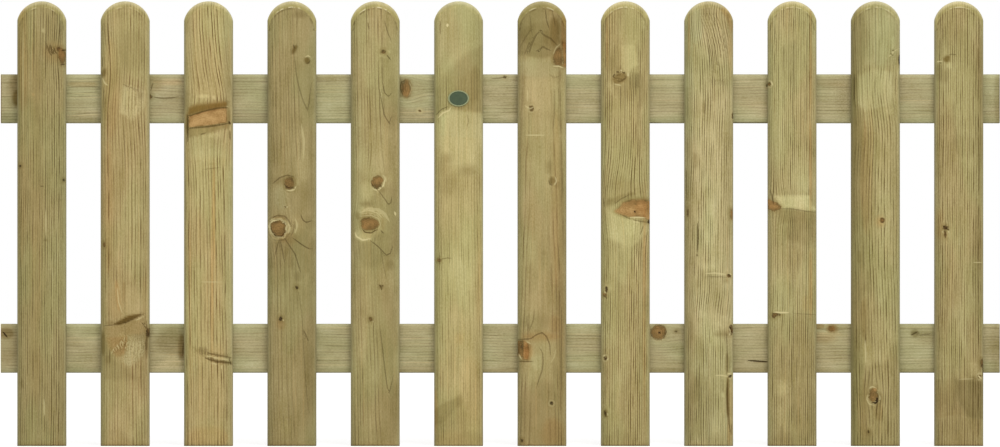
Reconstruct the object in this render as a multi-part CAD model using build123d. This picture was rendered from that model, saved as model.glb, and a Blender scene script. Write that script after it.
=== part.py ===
from build123d import *

import os

# Picket fence panel: round-topped pickets on two flat rails, screwed together from behind.
# Millimetres. X runs along the panel, Y from front to back, Z up.
# The origin is on the ground line, midway along the panel and midway through its depth.

# Panel
PANEL_LENGTH = 1800.0  # end to end of the rails
PICKET_COUNT = 12  # evenly spread, with half a gap left bare at each end of the rails

# Pickets
PICKET_HEIGHT = 800.0
PICKET_WIDTH = 88.0
PICKET_THICKNESS = 20.0
PICKET_EDGE_RADIUS = 7.0  # round planed on the four long edges
TOP_SHOULDER = 1.0  # the top's arc is this much larger in radius than half the picket's width
TOP_ROUND_ON_FACE = 12.0  # how far the top's round-over reaches onto each face, at the tip
TOP_ROUND_IN_EDGE = 7.0  # how far it reaches into the sawn edge from each face, at the tip
TOP_ROUND_BULGE = 1.2  # how far it swells past a plain chamfer
TOP_ROUND_DROP = 8.0  # it turns about a point this far below the arc's centre, and so fades out sideways

# Rails
RAIL_HEIGHT = 88.0
RAIL_THICKNESS = 28.0
RAIL_EDGE_RADIUS = 3.0
LOWER_RAIL_RISE = 131.0  # from the pickets' feet to the lower rail's bottom edge
UPPER_RAIL_DROP = 131.0  # from the pickets' tops to the upper rail's top edge

# Countersunk wood screws, two at each crossing
SCREW_THREAD_DIAMETER = 4.5
SCREW_CORE_DIAMETER = 2.8
SCREW_SHANK_DIAMETER = 3.3
SCREW_HEAD_DIAMETER = 8.8
SCREW_HEAD_RIM = 0.5  # the head's straight edge, above its cone
SCREW_HEAD_SINK = 0.4  # how far the head lies below the rail's back
SCREW_THREAD_LENGTH = 24.0  # with the point
SCREW_THREAD_PITCH = 2.4
SCREW_POINT_LENGTH = 3.0
SCREW_POINT_COVER = 7.5  # wood left between the screw's point and the picket's front
SCREW_FROM_PICKET_EDGE = 24.0
SCREW_FROM_RAIL_EDGE = 22.0
DRIVE_SLOT_WIDTH = 1.2
DRIVE_SLOT_DEPTH = 2.0
DRIVE_SLOT_WALL = 0.6  # metal left between the cross slot's ends and the head's cone

# Oval badge on one picket, with two moulded pins
BADGE_PICKET = 6  # counted from the left
BADGE_WIDTH = 38.0
BADGE_HEIGHT = 29.0
BADGE_PLATE = 1.8  # thickness of the sunk field
BADGE_RIM_WIDTH = 2.2
BADGE_RIM_RISE = 0.9  # how far the rim stands above the field
BADGE_RIM_ROUND = 0.6
BADGE_PIN_DIAMETER = 2.5
BADGE_PIN_LENGTH = 6.0
BADGE_PIN_FROM_EDGE = 10.0  # from the oval's left and right ends to the pins' axes

# Clearances, on the radius or along the axis
RAIL_HOLE_CLEARANCE = 0.3
THREAD_CLEARANCE = 0.05
SEAT_CLEARANCE = 0.05

FILLET_SHARE = 0.45  # no round takes more than this share of the wall that it is on

# Places that follow from the sizes
panel_depth = PICKET_THICKNESS + RAIL_THICKNESS
picket_front = -panel_depth / 2
picket_middle = picket_front + PICKET_THICKNESS / 2
seam = picket_front + PICKET_THICKNESS
rail_middle = seam + RAIL_THICKNESS / 2
rail_back = seam + RAIL_THICKNESS

picket_pitch = PANEL_LENGTH / PICKET_COUNT
picket_centres = [(n + 0.5) * picket_pitch - PANEL_LENGTH / 2 for n in range(PICKET_COUNT)]

lower_rail_z = LOWER_RAIL_RISE + RAIL_HEIGHT / 2
upper_rail_z = PICKET_HEIGHT - UPPER_RAIL_DROP - RAIL_HEIGHT / 2
rail_centres = {"lower_rail": lower_rail_z, "upper_rail": upper_rail_z}

screw_head_y = rail_back - SCREW_HEAD_SINK
screw_length = screw_head_y - (picket_front + SCREW_POINT_COVER)
screw_dx = PICKET_WIDTH / 2 - SCREW_FROM_PICKET_EDGE
screw_dz = RAIL_HEIGHT / 2 - SCREW_FROM_RAIL_EDGE
crossing_offsets = [(-screw_dx, screw_dz), (screw_dx, -screw_dz)]

badge_place = Pos(picket_centres[BADGE_PICKET - 1], picket_front, upper_rail_z)
badge_pin_x = BADGE_WIDTH / 2 - BADGE_PIN_FROM_EDGE


def turned(outline):
    """Solid turned about the Y axis from (radius, y) points."""
    return revolve(make_face(Polyline(*outline, close=True)), Axis.Y)


def rod(diameter, start_y, end_y):
    """Round bar along Y."""
    radius = diameter / 2
    return turned([(0, start_y), (radius, start_y), (radius, end_y), (0, end_y)])


def screw():
    """Countersunk screw along Y: its head's top at the origin, its point towards the front."""
    head = SCREW_HEAD_DIAMETER / 2
    shank = SCREW_SHANK_DIAMETER / 2
    core = SCREW_CORE_DIAMETER / 2
    crest = SCREW_THREAD_DIAMETER / 2
    thread_start = screw_length - SCREW_THREAD_LENGTH
    point_start = screw_length - SCREW_POINT_LENGTH
    ridges = int((point_start - thread_start) // SCREW_THREAD_PITCH)

    outline = [(0, 0), (head, 0), (head, -SCREW_HEAD_RIM)]
    outline += [(shank, -SCREW_HEAD_RIM - (head - shank)), (shank, -thread_start)]
    for n in range(ridges):
        root = thread_start + n * SCREW_THREAD_PITCH
        outline += [(core, -root), (crest, -root - SCREW_THREAD_PITCH / 2)]
    outline += [(core, -thread_start - ridges * SCREW_THREAD_PITCH), (core, -point_start)]
    outline += [(0, -screw_length)]

    cone_at_slot_floor = head - (DRIVE_SLOT_DEPTH - SCREW_HEAD_RIM)
    slot_length = 2 * (cone_at_slot_floor - DRIVE_SLOT_WALL)
    slot = Box(slot_length, 2 * DRIVE_SLOT_DEPTH, DRIVE_SLOT_WIDTH)
    return turned(outline) - slot - Rot(0, 90, 0) * slot


def rail_hole():
    """What a screw takes out of a rail, placed as the screw is: a countersink and a clearance hole."""
    mouth = SCREW_HEAD_DIAMETER / 2 + SEAT_CLEARANCE
    hole = SCREW_THREAD_DIAMETER / 2 + RAIL_HOLE_CLEARANCE
    cone_start = -SCREW_HEAD_RIM - SEAT_CLEARANCE
    cone_end = cone_start - (mouth - hole)
    outside = rail_back - screw_head_y + RAIL_THICKNESS
    inside = seam - screw_head_y - RAIL_THICKNESS
    outline = [(0, outside), (mouth, outside), (mouth, cone_start)]
    outline += [(hole, cone_end), (hole, inside), (0, inside)]
    return turned(outline)


def picket_bore():
    """What a screw takes out of a picket, placed as the screw is: a blind bore from the seam."""
    diameter = SCREW_THREAD_DIAMETER + 2 * THREAD_CLEARANCE
    return rod(diameter, seam - screw_head_y, -screw_length - THREAD_CLEARANCE)


def round_over(radius):
    """Disc of that radius whose rim is rounded over from both faces of a picket."""
    half = PICKET_THICKNESS / 2
    face_end = radius - TOP_ROUND_ON_FACE
    edge_end = half - min(TOP_ROUND_IN_EDGE, FILLET_SHARE * PICKET_THICKNESS)
    rim = [
        Line((0, -half), (face_end, -half)),
        SagittaArc((face_end, -half), (radius, -edge_end), TOP_ROUND_BULGE),
        Line((radius, -edge_end), (radius, edge_end)),
        SagittaArc((radius, edge_end), (face_end, half), TOP_ROUND_BULGE),
        Line((face_end, half), (0, half)),
        Line((0, half), (0, -half)),
    ]
    return revolve(make_face(rim), Axis.Y)


def with_shaft(disc, centre_z):
    """A disc at that height with the uncut shaft of a picket below its centre."""
    shaft = Box(2 * PICKET_WIDTH, PICKET_THICKNESS, centre_z)
    return Pos(0, picket_middle, centre_z) * disc + Pos(0, picket_middle, centre_z / 2) * shaft


def plain_picket():
    """Round-topped board standing on the ground line at the middle of the panel."""
    edge_round = min(PICKET_EDGE_RADIUS, FILLET_SHARE * PICKET_THICKNESS)
    section = Pos(0, picket_middle) * RectangleRounded(PICKET_WIDTH, PICKET_THICKNESS, edge_round)
    board = extrude(section, PICKET_HEIGHT)

    top_radius = PICKET_WIDTH / 2 + TOP_SHOULDER
    half = PICKET_THICKNESS / 2
    sawn_disc = rod(2 * top_radius, -half, half)
    arc_centre = PICKET_HEIGHT - top_radius
    sawn_top = with_shaft(sawn_disc, arc_centre)
    rounded_top = with_shaft(round_over(top_radius + TOP_ROUND_DROP), arc_centre - TOP_ROUND_DROP)
    return board & sawn_top & rounded_top


def crossing_screw_places(x):
    """Where the heads of one picket's screws lie, on both rails."""
    return [
        Pos(x + dx, screw_head_y, rail_z + dz)
        for rail_z in rail_centres.values()
        for dx, dz in crossing_offsets
    ]


def picket(number):
    """One picket in its place, bored for its screws and, where it carries the badge, for its pins."""
    x = picket_centres[number - 1]
    board = Pos(x, 0, 0) * plain_picket()
    for place in crossing_screw_places(x):
        board -= place * picket_bore()
    if number == BADGE_PICKET:
        diameter = BADGE_PIN_DIAMETER + 2 * SEAT_CLEARANCE
        pin_hole = rod(diameter, 0, BADGE_PIN_LENGTH + SEAT_CLEARANCE)
        for side in (-1, 1):
            board -= badge_place * Pos(side * badge_pin_x, 0, 0) * pin_hole
    return board


def rail(centre_z):
    """One rail behind the pickets, its long edges eased, with a countersunk hole for each screw."""
    edge_round = min(RAIL_EDGE_RADIUS, FILLET_SHARE * RAIL_THICKNESS)
    section = Plane.YZ * RectangleRounded(RAIL_THICKNESS, RAIL_HEIGHT, edge_round)
    board = Pos(0, rail_middle, centre_z) * extrude(section, PANEL_LENGTH / 2, both=True)
    hole = rail_hole()
    holes = [
        Pos(x + dx, screw_head_y, centre_z + dz) * hole
        for x in picket_centres
        for dx, dz in crossing_offsets
    ]
    return board - holes


def badge():
    """Oval plate with a raised rim round a bare field, and two pins on its back."""
    outside = Plane.XZ * Ellipse(BADGE_WIDTH / 2, BADGE_HEIGHT / 2)
    field = Plane.XZ * Ellipse(BADGE_WIDTH / 2 - BADGE_RIM_WIDTH, BADGE_HEIGHT / 2 - BADGE_RIM_WIDTH)
    plate = extrude(outside, BADGE_PLATE + BADGE_RIM_RISE)
    rim_round = min(BADGE_RIM_ROUND, FILLET_SHARE * BADGE_RIM_WIDTH)
    plate = fillet(plate.faces().sort_by(Axis.Y)[0].edges(), rim_round)
    plate -= Pos(0, -BADGE_PLATE, 0) * extrude(field, BADGE_RIM_RISE)
    for side in (-1, 1):
        plate += Pos(side * badge_pin_x, 0, 0) * rod(BADGE_PIN_DIAMETER, 0, BADGE_PIN_LENGTH)
    return plate


def panel_pieces():
    """Every piece of the panel in its place, by its name."""
    pieces = {name: rail(z) for name, z in rail_centres.items()}
    one_screw = screw()
    for number, x in enumerate(picket_centres, start=1):
        screws = [place * one_screw for place in crossing_screw_places(x)]
        pieces[f"picket_{number:02d}"] = picket(number)
        pieces[f"picket_{number:02d}_screws"] = Compound(screws)
    pieces["oval_badge"] = badge_place * badge()
    return pieces


os.makedirs("parts", exist_ok=True)
for name, piece in panel_pieces().items():
    export_step(piece, f"parts/{name}.step")
print(f"pickets every {picket_pitch:.2f} mm, {picket_pitch - PICKET_WIDTH:.2f} mm apart")
print(f"screws {screw_length:.1f} mm long")
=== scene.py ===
# %% [markdown]
# # A picket fence panel in pressure-treated softwood
# Twelve round-topped pickets stand in front of two rails and are screwed on from behind. The solid model already
# has every piece at its real size, so it is loaded first as a fixed frame. The wooden pieces and the badge are then
# modelled again with enough faces to carry knots, cracks and grain, and each one takes the place of its solid.

import math
from dataclasses import dataclass, field
from functools import partial
from types import SimpleNamespace

import bmesh
import bpy
import numpy as np
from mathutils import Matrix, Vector


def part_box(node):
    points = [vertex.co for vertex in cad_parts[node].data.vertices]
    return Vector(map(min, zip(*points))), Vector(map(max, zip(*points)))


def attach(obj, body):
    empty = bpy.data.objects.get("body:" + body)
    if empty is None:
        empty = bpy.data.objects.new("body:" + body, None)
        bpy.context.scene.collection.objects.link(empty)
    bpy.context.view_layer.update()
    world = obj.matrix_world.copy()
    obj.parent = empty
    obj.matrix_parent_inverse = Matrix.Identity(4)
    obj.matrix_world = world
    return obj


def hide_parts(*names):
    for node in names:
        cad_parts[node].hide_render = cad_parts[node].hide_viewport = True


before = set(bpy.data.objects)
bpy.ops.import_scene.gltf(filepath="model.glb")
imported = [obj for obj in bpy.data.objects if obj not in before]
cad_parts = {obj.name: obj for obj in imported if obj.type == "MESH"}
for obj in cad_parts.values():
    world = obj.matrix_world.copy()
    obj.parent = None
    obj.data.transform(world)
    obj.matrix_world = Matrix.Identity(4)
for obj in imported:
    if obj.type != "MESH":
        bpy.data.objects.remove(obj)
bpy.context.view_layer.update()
scene = bpy.context.scene
scene.view_settings.view_transform = "Standard"
MM = 0.001

# %% [markdown]
# ## The camera
# The panel was photographed square on and from far off: none of its boards shows a side. Nothing converges, so
# the camera only has to look straight along Y. Its focal length follows from how wide the picture is at the seam
# between pickets and rails.

# %% Camera
CAMERA_DISTANCE = 10.0
PICTURE_WIDTH = 1.8015  # metres across the picture, at the seam
PICTURE_MIDDLE = (-0.0005, 0.4001)  # the point of the panel in the middle of the picture
SENSOR = 36.0
TIPPED_UP = (math.pi / 2, 0, 0)  # turns what points along Z to point along Y

seam_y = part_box("upper_rail")[0].y
bpy.ops.object.select_all(action="DESELECT")
bpy.ops.object.camera_add(location=(PICTURE_MIDDLE[0], -CAMERA_DISTANCE, PICTURE_MIDDLE[1]), rotation=TIPPED_UP)
camera = bpy.context.object
camera.name = "camera"
camera.data.sensor_fit = "HORIZONTAL"
camera.data.sensor_width = SENSOR
camera.data.lens = SENSOR * (CAMERA_DISTANCE + seam_y) / PICTURE_WIDTH
scene.camera = camera
print(f"camera: {camera.data.lens:.2f} mm lens at {CAMERA_DISTANCE} m")

# %% [markdown]
# ## Shader maths
# A node tree is easier to read as a formula. This class wraps one output of a node, and each operator on it adds a
# Math node. Every other node comes from one method, which sets the node's settings first and its sockets next.


# %% Values in a node tree
class Value:
    """One output of a node; arithmetic with it adds Math nodes."""

    def __init__(self, tree, socket):
        self.tree = tree
        self.socket = socket

    @classmethod
    def node(cls, tree, kind, settings=None, inputs=None, output=0):
        """Adds a node of that kind and returns one of its outputs, or all of them where output is None."""
        new = tree.nodes.new(kind)
        for name, setting in (settings or {}).items():
            if name == "stops":
                ramp = new.color_ramp
                while len(ramp.elements) < len(setting):
                    ramp.elements.new(1.0)
                for element, (position, colour) in zip(ramp.elements, setting):
                    element.position = position
                    element.color = colour
            else:
                setattr(new, name, setting)
        for name, value in (inputs or {}).items():
            if isinstance(value, Value):
                tree.links.new(value.socket, new.inputs[name])
            else:
                new.inputs[name].default_value = value
        if output is None:
            return [cls(tree, socket) for socket in new.outputs]
        return cls(tree, new.outputs[output]) if len(new.outputs) else None

    def maths(self, operation, *others):
        """A Math node on this value and the others."""
        inputs = dict(enumerate((self,) + others))
        return Value.node(self.tree, "ShaderNodeMath", {"operation": operation}, inputs)

    def __add__(self, other):
        return self.maths("ADD", other)

    __radd__ = __add__

    def __mul__(self, other):
        return self.maths("MULTIPLY", other)

    __rmul__ = __mul__

    def __neg__(self):
        return self * -1.0

    def __sub__(self, other):
        return self.maths("SUBTRACT", other)

    def __rsub__(self, other):
        return -self + other

    def __truediv__(self, other):
        return self.maths("DIVIDE", other)

    def __abs__(self):
        return self.maths("ABSOLUTE")

    def at_least(self, low):
        """This value, or the limit where it is lower."""
        return self.maths("MAXIMUM", low)

    def at_most(self, high):
        """This value, or the limit where it is higher."""
        return self.maths("MINIMUM", high)

    def step(self, low, high):
        """Rises smoothly from 0 to 1 while this value goes from low to high."""
        inputs = {"Value": self, "From Min": low, "From Max": high}
        return Value.node(self.tree, "ShaderNodeMapRange", {"interpolation_type": "SMOOTHSTEP"}, inputs)

    def split(self):
        """The three numbers of a vector."""
        return Value.node(self.tree, "ShaderNodeSeparateXYZ", None, {0: self}, None)

    def scaled(self, factor):
        """A colour made lighter or darker by a factor."""
        return Value.node(self.tree, "ShaderNodeVectorMath", {"operation": "SCALE"}, {0: self, "Scale": factor})

    def tinted(self, tint):
        """A colour multiplied by another."""
        return Value.node(self.tree, "ShaderNodeVectorMath", {"operation": "MULTIPLY"}, {0: self, 1: tint})

    def towards(self, colour, share):
        """A colour mixed with a share of another."""
        inputs = {0: share, 6: self, 7: colour}
        return Value.node(self.tree, "ShaderNodeMix", {"data_type": "RGBA"}, inputs, 2)


# %% [markdown]
# ## Materials
# Every finish here starts as an empty material and ends in the same two nodes: the surface shader and the output.
# Colours are chosen as a picture shows them and turned into the linear numbers that Blender counts in.


# %% Helpers for materials
def srgb(red, green, blue):
    """A colour as a picture shows it, 0 to 255, as Blender's linear numbers."""
    linear = [((c / 255 + 0.055) / 1.055) ** 2.4 if c > 10 else c / 255 / 12.92 for c in (red, green, blue)]
    return (*linear, 1.0)


def new_material(name):
    """An empty material, and a short way to add nodes to it."""
    material = bpy.data.materials.new(name)
    material.use_nodes = True
    material.node_tree.nodes.clear()
    return material, partial(Value.node, material.node_tree)


def end_in_surface(node, inputs):
    """The last two nodes of a finish."""
    node("ShaderNodeOutputMaterial", None, {"Surface": node("ShaderNodeBsdfPrincipled", None, inputs)})


def cover(piece, material):
    """Gives a piece one finish all over."""
    piece.data.materials.clear()
    piece.data.materials.append(material)


# %% [markdown]
# ## Floor and light
# The photograph has a plain white ground and soft light from above, a little from the right: the rounded tops and the
# rails' upper edges are bright, and the pickets' left edges are darker than their right ones. A big area lamp does
# that, together with painted highlights and painted shade in the wood's colour, and a pale world fills the rest. The
# camera, and anything glossy, sees the world and floor as white, while the light they give stays at a plain level.

# %% Stage
GROUND_SIZE = 14.0
GROUND_GREY = (0.6, 0.6, 0.6, 1)
GROUND_GLOW = 0.65
AMBIENT = 0.66
WHITE = (1, 1, 1, 1)
LAMPS_AIM = (0, 0, 0.4)


def on_show(node):
    """1 for what the camera sees, straight, mirrored or through glass, and 0 for plain light."""
    rays = [node("ShaderNodeLightPath", output=f"Is {kind} Ray") for kind in ("Camera", "Glossy", "Transmission")]
    return sum(rays[1:], rays[0]).at_most(1.0)


def lamp(name, place, size, power):
    """A square area lamp that points at the panel's middle."""
    bpy.ops.object.light_add(type="AREA", location=place)
    new = bpy.context.object
    new.name = name
    new.data.size = size
    new.data.energy = power
    direction = Vector([a - p for a, p in zip(LAMPS_AIM, place)])
    new.rotation_euler = direction.to_track_quat("-Z", "Y").to_euler()


scene.world = bpy.data.worlds.new("studio")
scene.world.use_nodes = True
scene.world.node_tree.nodes.clear()
sky = partial(Value.node, scene.world.node_tree)
strength = on_show(sky) * (1.0 - AMBIENT) + AMBIENT
light = sky("ShaderNodeBackground", None, {"Color": WHITE, "Strength": strength})
sky("ShaderNodeOutputWorld", None, {"Surface": light})

bpy.ops.object.select_all(action="DESELECT")
bpy.ops.mesh.primitive_plane_add(size=GROUND_SIZE)
ground = bpy.context.object
ground.name = "ground"
paint, node = new_material("ground_white")
matt = node("ShaderNodeBsdfDiffuse", None, {"Color": GROUND_GREY})
glow = node("ShaderNodeEmission", None, {"Color": WHITE, "Strength": on_show(node) * GROUND_GLOW})
both = node("ShaderNodeAddShader", None, {0: matt, 1: glow})
node("ShaderNodeOutputMaterial", None, {"Surface": both})
cover(ground, paint)

lamp("key_lamp", place=(1.7, -4.2, 3.4), size=2.4, power=110)
lamp("fill_lamp", place=(-1.0, -4.0, 0.6), size=2.5, power=40)
print("stage: ground, world and two lamps")

# %% [markdown]
# ## Working in edit mode
# Modelling by operator means: one object active, edit mode, pick some faces or edges, act on them. These helpers do
# the picking by place or direction, because there is no mouse.


# %% Helpers for edit mode
def clear_selection():
    """Object mode, with nothing selected."""
    if bpy.context.object and bpy.context.object.mode != "OBJECT":
        bpy.ops.object.mode_set(mode="OBJECT")
    bpy.ops.object.select_all(action="DESELECT")


def activate(piece):
    """Selects one object and nothing else."""
    clear_selection()
    piece.select_set(True)
    bpy.context.view_layer.objects.active = piece


def pick(piece, kind, wanted):
    """In edit mode, selects the vertices, edges or faces that pass a test."""
    bpy.ops.object.mode_set(mode="EDIT")
    bpy.ops.mesh.select_mode(type=kind)
    bpy.ops.mesh.select_all(action="DESELECT")
    shape = bmesh.from_edit_mesh(piece.data)
    for element in {"VERT": shape.verts, "EDGE": shape.edges, "FACE": shape.faces}[kind]:
        if wanted(element):
            element.select_set(True)
    shape.select_flush_mode()
    bmesh.update_edit_mesh(piece.data)


def span(edge):
    """How far an edge runs along X, Y and Z."""
    start, end = (vert.co for vert in edge.verts)
    return [abs(a - b) for a, b in zip(start, end)]


def divide(piece, parts, wanted):
    """Cuts the edges that pass a test into equal parts, and with them the faces between."""
    pick(piece, "EDGE", wanted)
    bpy.ops.mesh.subdivide(number_cuts=parts - 1)


def round_edges(piece, radius, segments, wanted, profile=0.5):
    """Rounds the edges that pass a test."""
    pick(piece, "EDGE", wanted)
    bpy.ops.mesh.bevel(offset=radius, segments=segments, profile=profile, affect="EDGES")


# %% [markdown]
# Bars and tools are boxes and round bars. A tool cuts a piece, or is added to it, with a Boolean modifier.


# %% Bars and tools
def box_bar(name, low, high):
    """A cube that fills a box."""
    clear_selection()
    bpy.ops.mesh.primitive_cube_add(size=1, location=[(a + b) / 2 for a, b in zip(low, high)])
    bar = bpy.context.object
    bar.name = name
    bar.scale = [b - a for a, b in zip(low, high)]
    bpy.ops.object.transform_apply(location=True, rotation=False, scale=True)
    return bar


def round_bar(radius, x, z, start_y, end_y, steps, squeeze=(1, 1, 1)):
    """A round bar along Y, or an oval one."""
    clear_selection()
    bpy.ops.mesh.primitive_cylinder_add(
        vertices=steps, radius=radius, depth=end_y - start_y,
        location=(x, (start_y + end_y) / 2, z), rotation=TIPPED_UP,
    )
    bar = bpy.context.object
    bar.scale = squeeze
    bpy.ops.object.transform_apply(location=True, rotation=True, scale=True)
    return bar


def joined(tools):
    """Several tools as one object."""
    clear_selection()
    for tool in tools:
        tool.select_set(True)
    bpy.context.view_layer.objects.active = tools[0]
    bpy.ops.object.join()
    return tools[0]


def carve(piece, operation, tool):
    """Cuts a piece with a tool, which is used up."""
    activate(piece)
    cut = piece.modifiers.new("cut", "BOOLEAN")
    cut.operation = operation
    cut.solver = "EXACT"
    cut.object = tool
    bpy.ops.object.modifier_apply(modifier=cut.name)
    bpy.data.objects.remove(tool)


# %% [markdown]
# ## The picket
# On the real panel a picket is a planed board with rounded long edges, sawn to an arc at the top and rounded over
# there with a router. It could be drawn as an outline and extruded, but then its face would be one huge polygon.
# So it starts as a bar that is cut into a fine grid, and the top is made as the maker makes it: one tool with the
# arc's outline, and one with the round-over, each left in where the bar meets it.

# %% Picket blank
EDGE_ROUND = 7.0 * MM
EDGE_SEGMENTS = 6
FACE_COLUMNS = 31
BACK_COLUMNS = 12
SIDE_COLUMNS = 2
ROW_CUTS = (4, 72)  # in two goes, because one can't make more than 101
BAR_EDGE = 15.0 * MM  # a longer edge is the bar's own, and not the grid's
TOUCHING = 0.01 * MM

first_low, first_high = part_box("picket_01")
half_width = (first_high.x - first_low.x) / 2
front_y, back_y, top_z = first_low.y, first_high.y, first_high.z
thickness = back_y - front_y

blank = box_bar("picket_blank", (-half_width, front_y, 0), (half_width, back_y, top_z))
round_edges(blank, EDGE_ROUND, EDGE_SEGMENTS, lambda edge: span(edge)[2] > BAR_EDGE)
for columns, level in ((FACE_COLUMNS, front_y), (BACK_COLUMNS, back_y)):
    divide(
        blank, columns,
        lambda edge: span(edge)[0] > BAR_EDGE and all(abs(v.co.y - level) < TOUCHING for v in edge.verts),
    )
divide(blank, SIDE_COLUMNS, lambda edge: abs(span(edge)[1] - (thickness - 2 * EDGE_ROUND)) < TOUCHING)
for parts in ROW_CUTS:
    divide(blank, parts, lambda edge: span(edge)[2] > BAR_EDGE)
bpy.ops.object.mode_set(mode="OBJECT")
print("picket bar:", len(blank.data.polygons), "faces")

# %% [markdown]
# The arc is a disc whose lower half is pulled down past the foot, which leaves straight sides. The round-over is a
# second, larger disc with rounded rims, centred a little lower, so that it cuts deep at the tip and fades out at
# the shoulders. Both are thicker than the bar, the second by a hair, so that no two faces lie in one plane.

# %% Picket top
ARC_RADIUS = 45.0 * MM
ARC_STEPS = 160
ROUND_DROP = 8.0 * MM
ROUND_ON_FACE = 12.0 * MM
ROUND_IN_EDGE = 7.0 * MM
ROUND_SEGMENTS = 6
ROUND_PROFILE = 0.343  # a flat swell, between a chamfer (0.25) and a quarter circle (0.5)
HAIR = 0.02 * MM
SPARE = 5.0 * MM  # how far a tool stands out of what it cuts
PAST_FOOT = 100.0 * MM

arc_centre = top_z - ARC_RADIUS
round_centre = arc_centre - ROUND_DROP


def pull_down(disc, centre_z):
    """Stretches a disc's lower half down past the foot."""
    pick(disc, "VERT", lambda vert: vert.co.z < centre_z - HAIR)
    bpy.ops.transform.translate(value=(0, 0, -centre_z - PAST_FOOT))
    bpy.ops.object.mode_set(mode="OBJECT")


arch = round_bar(ARC_RADIUS, 0, arc_centre, front_y - SPARE, back_y + SPARE, ARC_STEPS)
pull_down(arch, arc_centre)
carve(blank, "INTERSECT", arch)

squeeze = ROUND_IN_EDGE / ROUND_ON_FACE
middle_y = (front_y + back_y) / 2
half_deep = (thickness / 2 + HAIR) / squeeze
router = round_bar(ARC_RADIUS + ROUND_DROP, 0, round_centre, middle_y - half_deep, middle_y + half_deep, ARC_STEPS)
round_edges(router, ROUND_ON_FACE, ROUND_SEGMENTS, lambda edge: span(edge)[1] < HAIR, ROUND_PROFILE)
bpy.ops.mesh.select_all(action="SELECT")
bpy.ops.transform.resize(value=(1, squeeze, 1), center_override=(0, middle_y, round_centre))
pull_down(router, round_centre)
carve(blank, "INTERSECT", router)
print("picket with its top:", len(blank.data.polygons), "faces")

# %% [markdown]
# ## Screw holes
# Two screws cross each joint on a diagonal. In the picket they end in blind bores, and in the rail they sit in
# countersunk holes. A bore is a round bar; a countersink is one too, whose end is extruded and widened to the
# screw head. They are cut into the blanks once, before the blanks are copied.

# %% Bores and countersinks
SCREW_ACROSS = 20.0 * MM
SCREW_UP = 22.0 * MM
BORE_RADIUS = 2.3 * MM
BORE_END = front_y + 7.45 * MM
HOLE_RADIUS = 2.55 * MM
MOUTH_RADIUS = 4.45 * MM
MOUTH_DEPTH = 0.95 * MM
HOLE_STEPS = 24
SQUARELY = 0.9  # how much of a face's normal has to point one way

rails = {name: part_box(name) for name in ("lower_rail", "upper_rail")}
rail_back = rails["upper_rail"][1].y
rail_heights = {name: (low.z + high.z) / 2 for name, (low, high) in rails.items()}
crossing = ((-SCREW_ACROSS, SCREW_UP), (SCREW_ACROSS, -SCREW_UP))


def countersink(x, z):
    """A hole through a rail, widened at the back for a screw's head."""
    widening = MOUTH_RADIUS - HOLE_RADIUS
    share = MOUTH_RADIUS / HOLE_RADIUS
    tool = round_bar(HOLE_RADIUS, x, z, seam_y - SPARE, rail_back - MOUTH_DEPTH - widening, HOLE_STEPS)
    pick(tool, "FACE", lambda face: face.normal.y > SQUARELY)
    bpy.ops.mesh.extrude_region_move(TRANSFORM_OT_translate={"value": (0, widening, 0)})
    bpy.ops.transform.resize(value=(share, 1, share), center_override=(x, 0, z))
    bpy.ops.mesh.extrude_region_move(TRANSFORM_OT_translate={"value": (0, MOUTH_DEPTH + SPARE, 0)})
    bpy.ops.object.mode_set(mode="OBJECT")
    return tool


bores = [
    round_bar(BORE_RADIUS, dx, z + dz, BORE_END, back_y + SPARE, HOLE_STEPS)
    for z in rail_heights.values() for dx, dz in crossing
]
carve(blank, "DIFFERENCE", joined(bores))
print("picket with its bores:", len(blank.data.polygons), "faces")

# %% [markdown]
# ## The rails
# A rail is the same kind of bar lying down, thicker and with smaller rounds. Its grid is as fine as the picket's,
# because its knots and streaks show in the gaps between the pickets.

# %% Rail blank
RAIL_ROUND = 3.0 * MM
RAIL_SEGMENTS = 4
RAIL_CUTS = (6, 100)
RAIL_FACE_COLUMNS = 30
RAIL_EDGE_COLUMNS = 8

rail_blank = box_bar("rail_blank", *rails["upper_rail"])
round_edges(rail_blank, RAIL_ROUND, RAIL_SEGMENTS, lambda edge: span(edge)[0] > BAR_EDGE)
divide(rail_blank, RAIL_FACE_COLUMNS, lambda edge: span(edge)[2] > BAR_EDGE)
divide(rail_blank, RAIL_EDGE_COLUMNS, lambda edge: span(edge)[1] > BAR_EDGE)
for parts in RAIL_CUTS:
    divide(rail_blank, parts, lambda edge: span(edge)[0] > BAR_EDGE)
bpy.ops.object.mode_set(mode="OBJECT")

picket_names = sorted(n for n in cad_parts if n.startswith("picket_") and not n.endswith("screws"))
picket_centres = {n: (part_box(n)[0].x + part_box(n)[1].x) / 2 for n in picket_names}
holes = [countersink(x + dx, rail_heights["upper_rail"] + dz) for x in picket_centres.values() for dx, dz in crossing]
carve(rail_blank, "DIFFERENCE", joined(holes))
print("rail with its holes:", len(rail_blank.data.polygons), "faces")

# %% [markdown]
# ## Marks in the wood
# What tells the boards apart is in the wood: knots, where a branch was cut through, pale and dark patches, veins and
# splits. They could be painted as a picture, but here each mark is one entry of a list: its shape and how dark it is.
# A shape is an oval (across, along, width, height, tilt) or a short list of corners. Places are in millimetres across
# the board from its middle and along it, up a picket from its foot or along a rail from the panel's middle.


# %% Kinds of marks
@dataclass
class Knot:
    """A branch cut through."""

    shape: object
    tone: float  # 0 orange tan, 0.5 brown, 1 nearly black
    push: float = 0.6  # how far the grain bends aside
    ring: float = 0.3  # a pale ring round it
    soft: float = 1.0  # half the width of its edge


@dataclass
class Patch:
    """An area that is paler, darker, redder, plainer or rougher than its board."""

    shape: object
    pale: float = 0.0
    dark: float = 0.0
    red: float = 0.0  # below 0 it is greener
    plain: float = 0.0  # how far its lines are faded
    rough: float = 0.0  # torn and speckled
    soft: float = 8.0  # half the width of its edge


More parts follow.
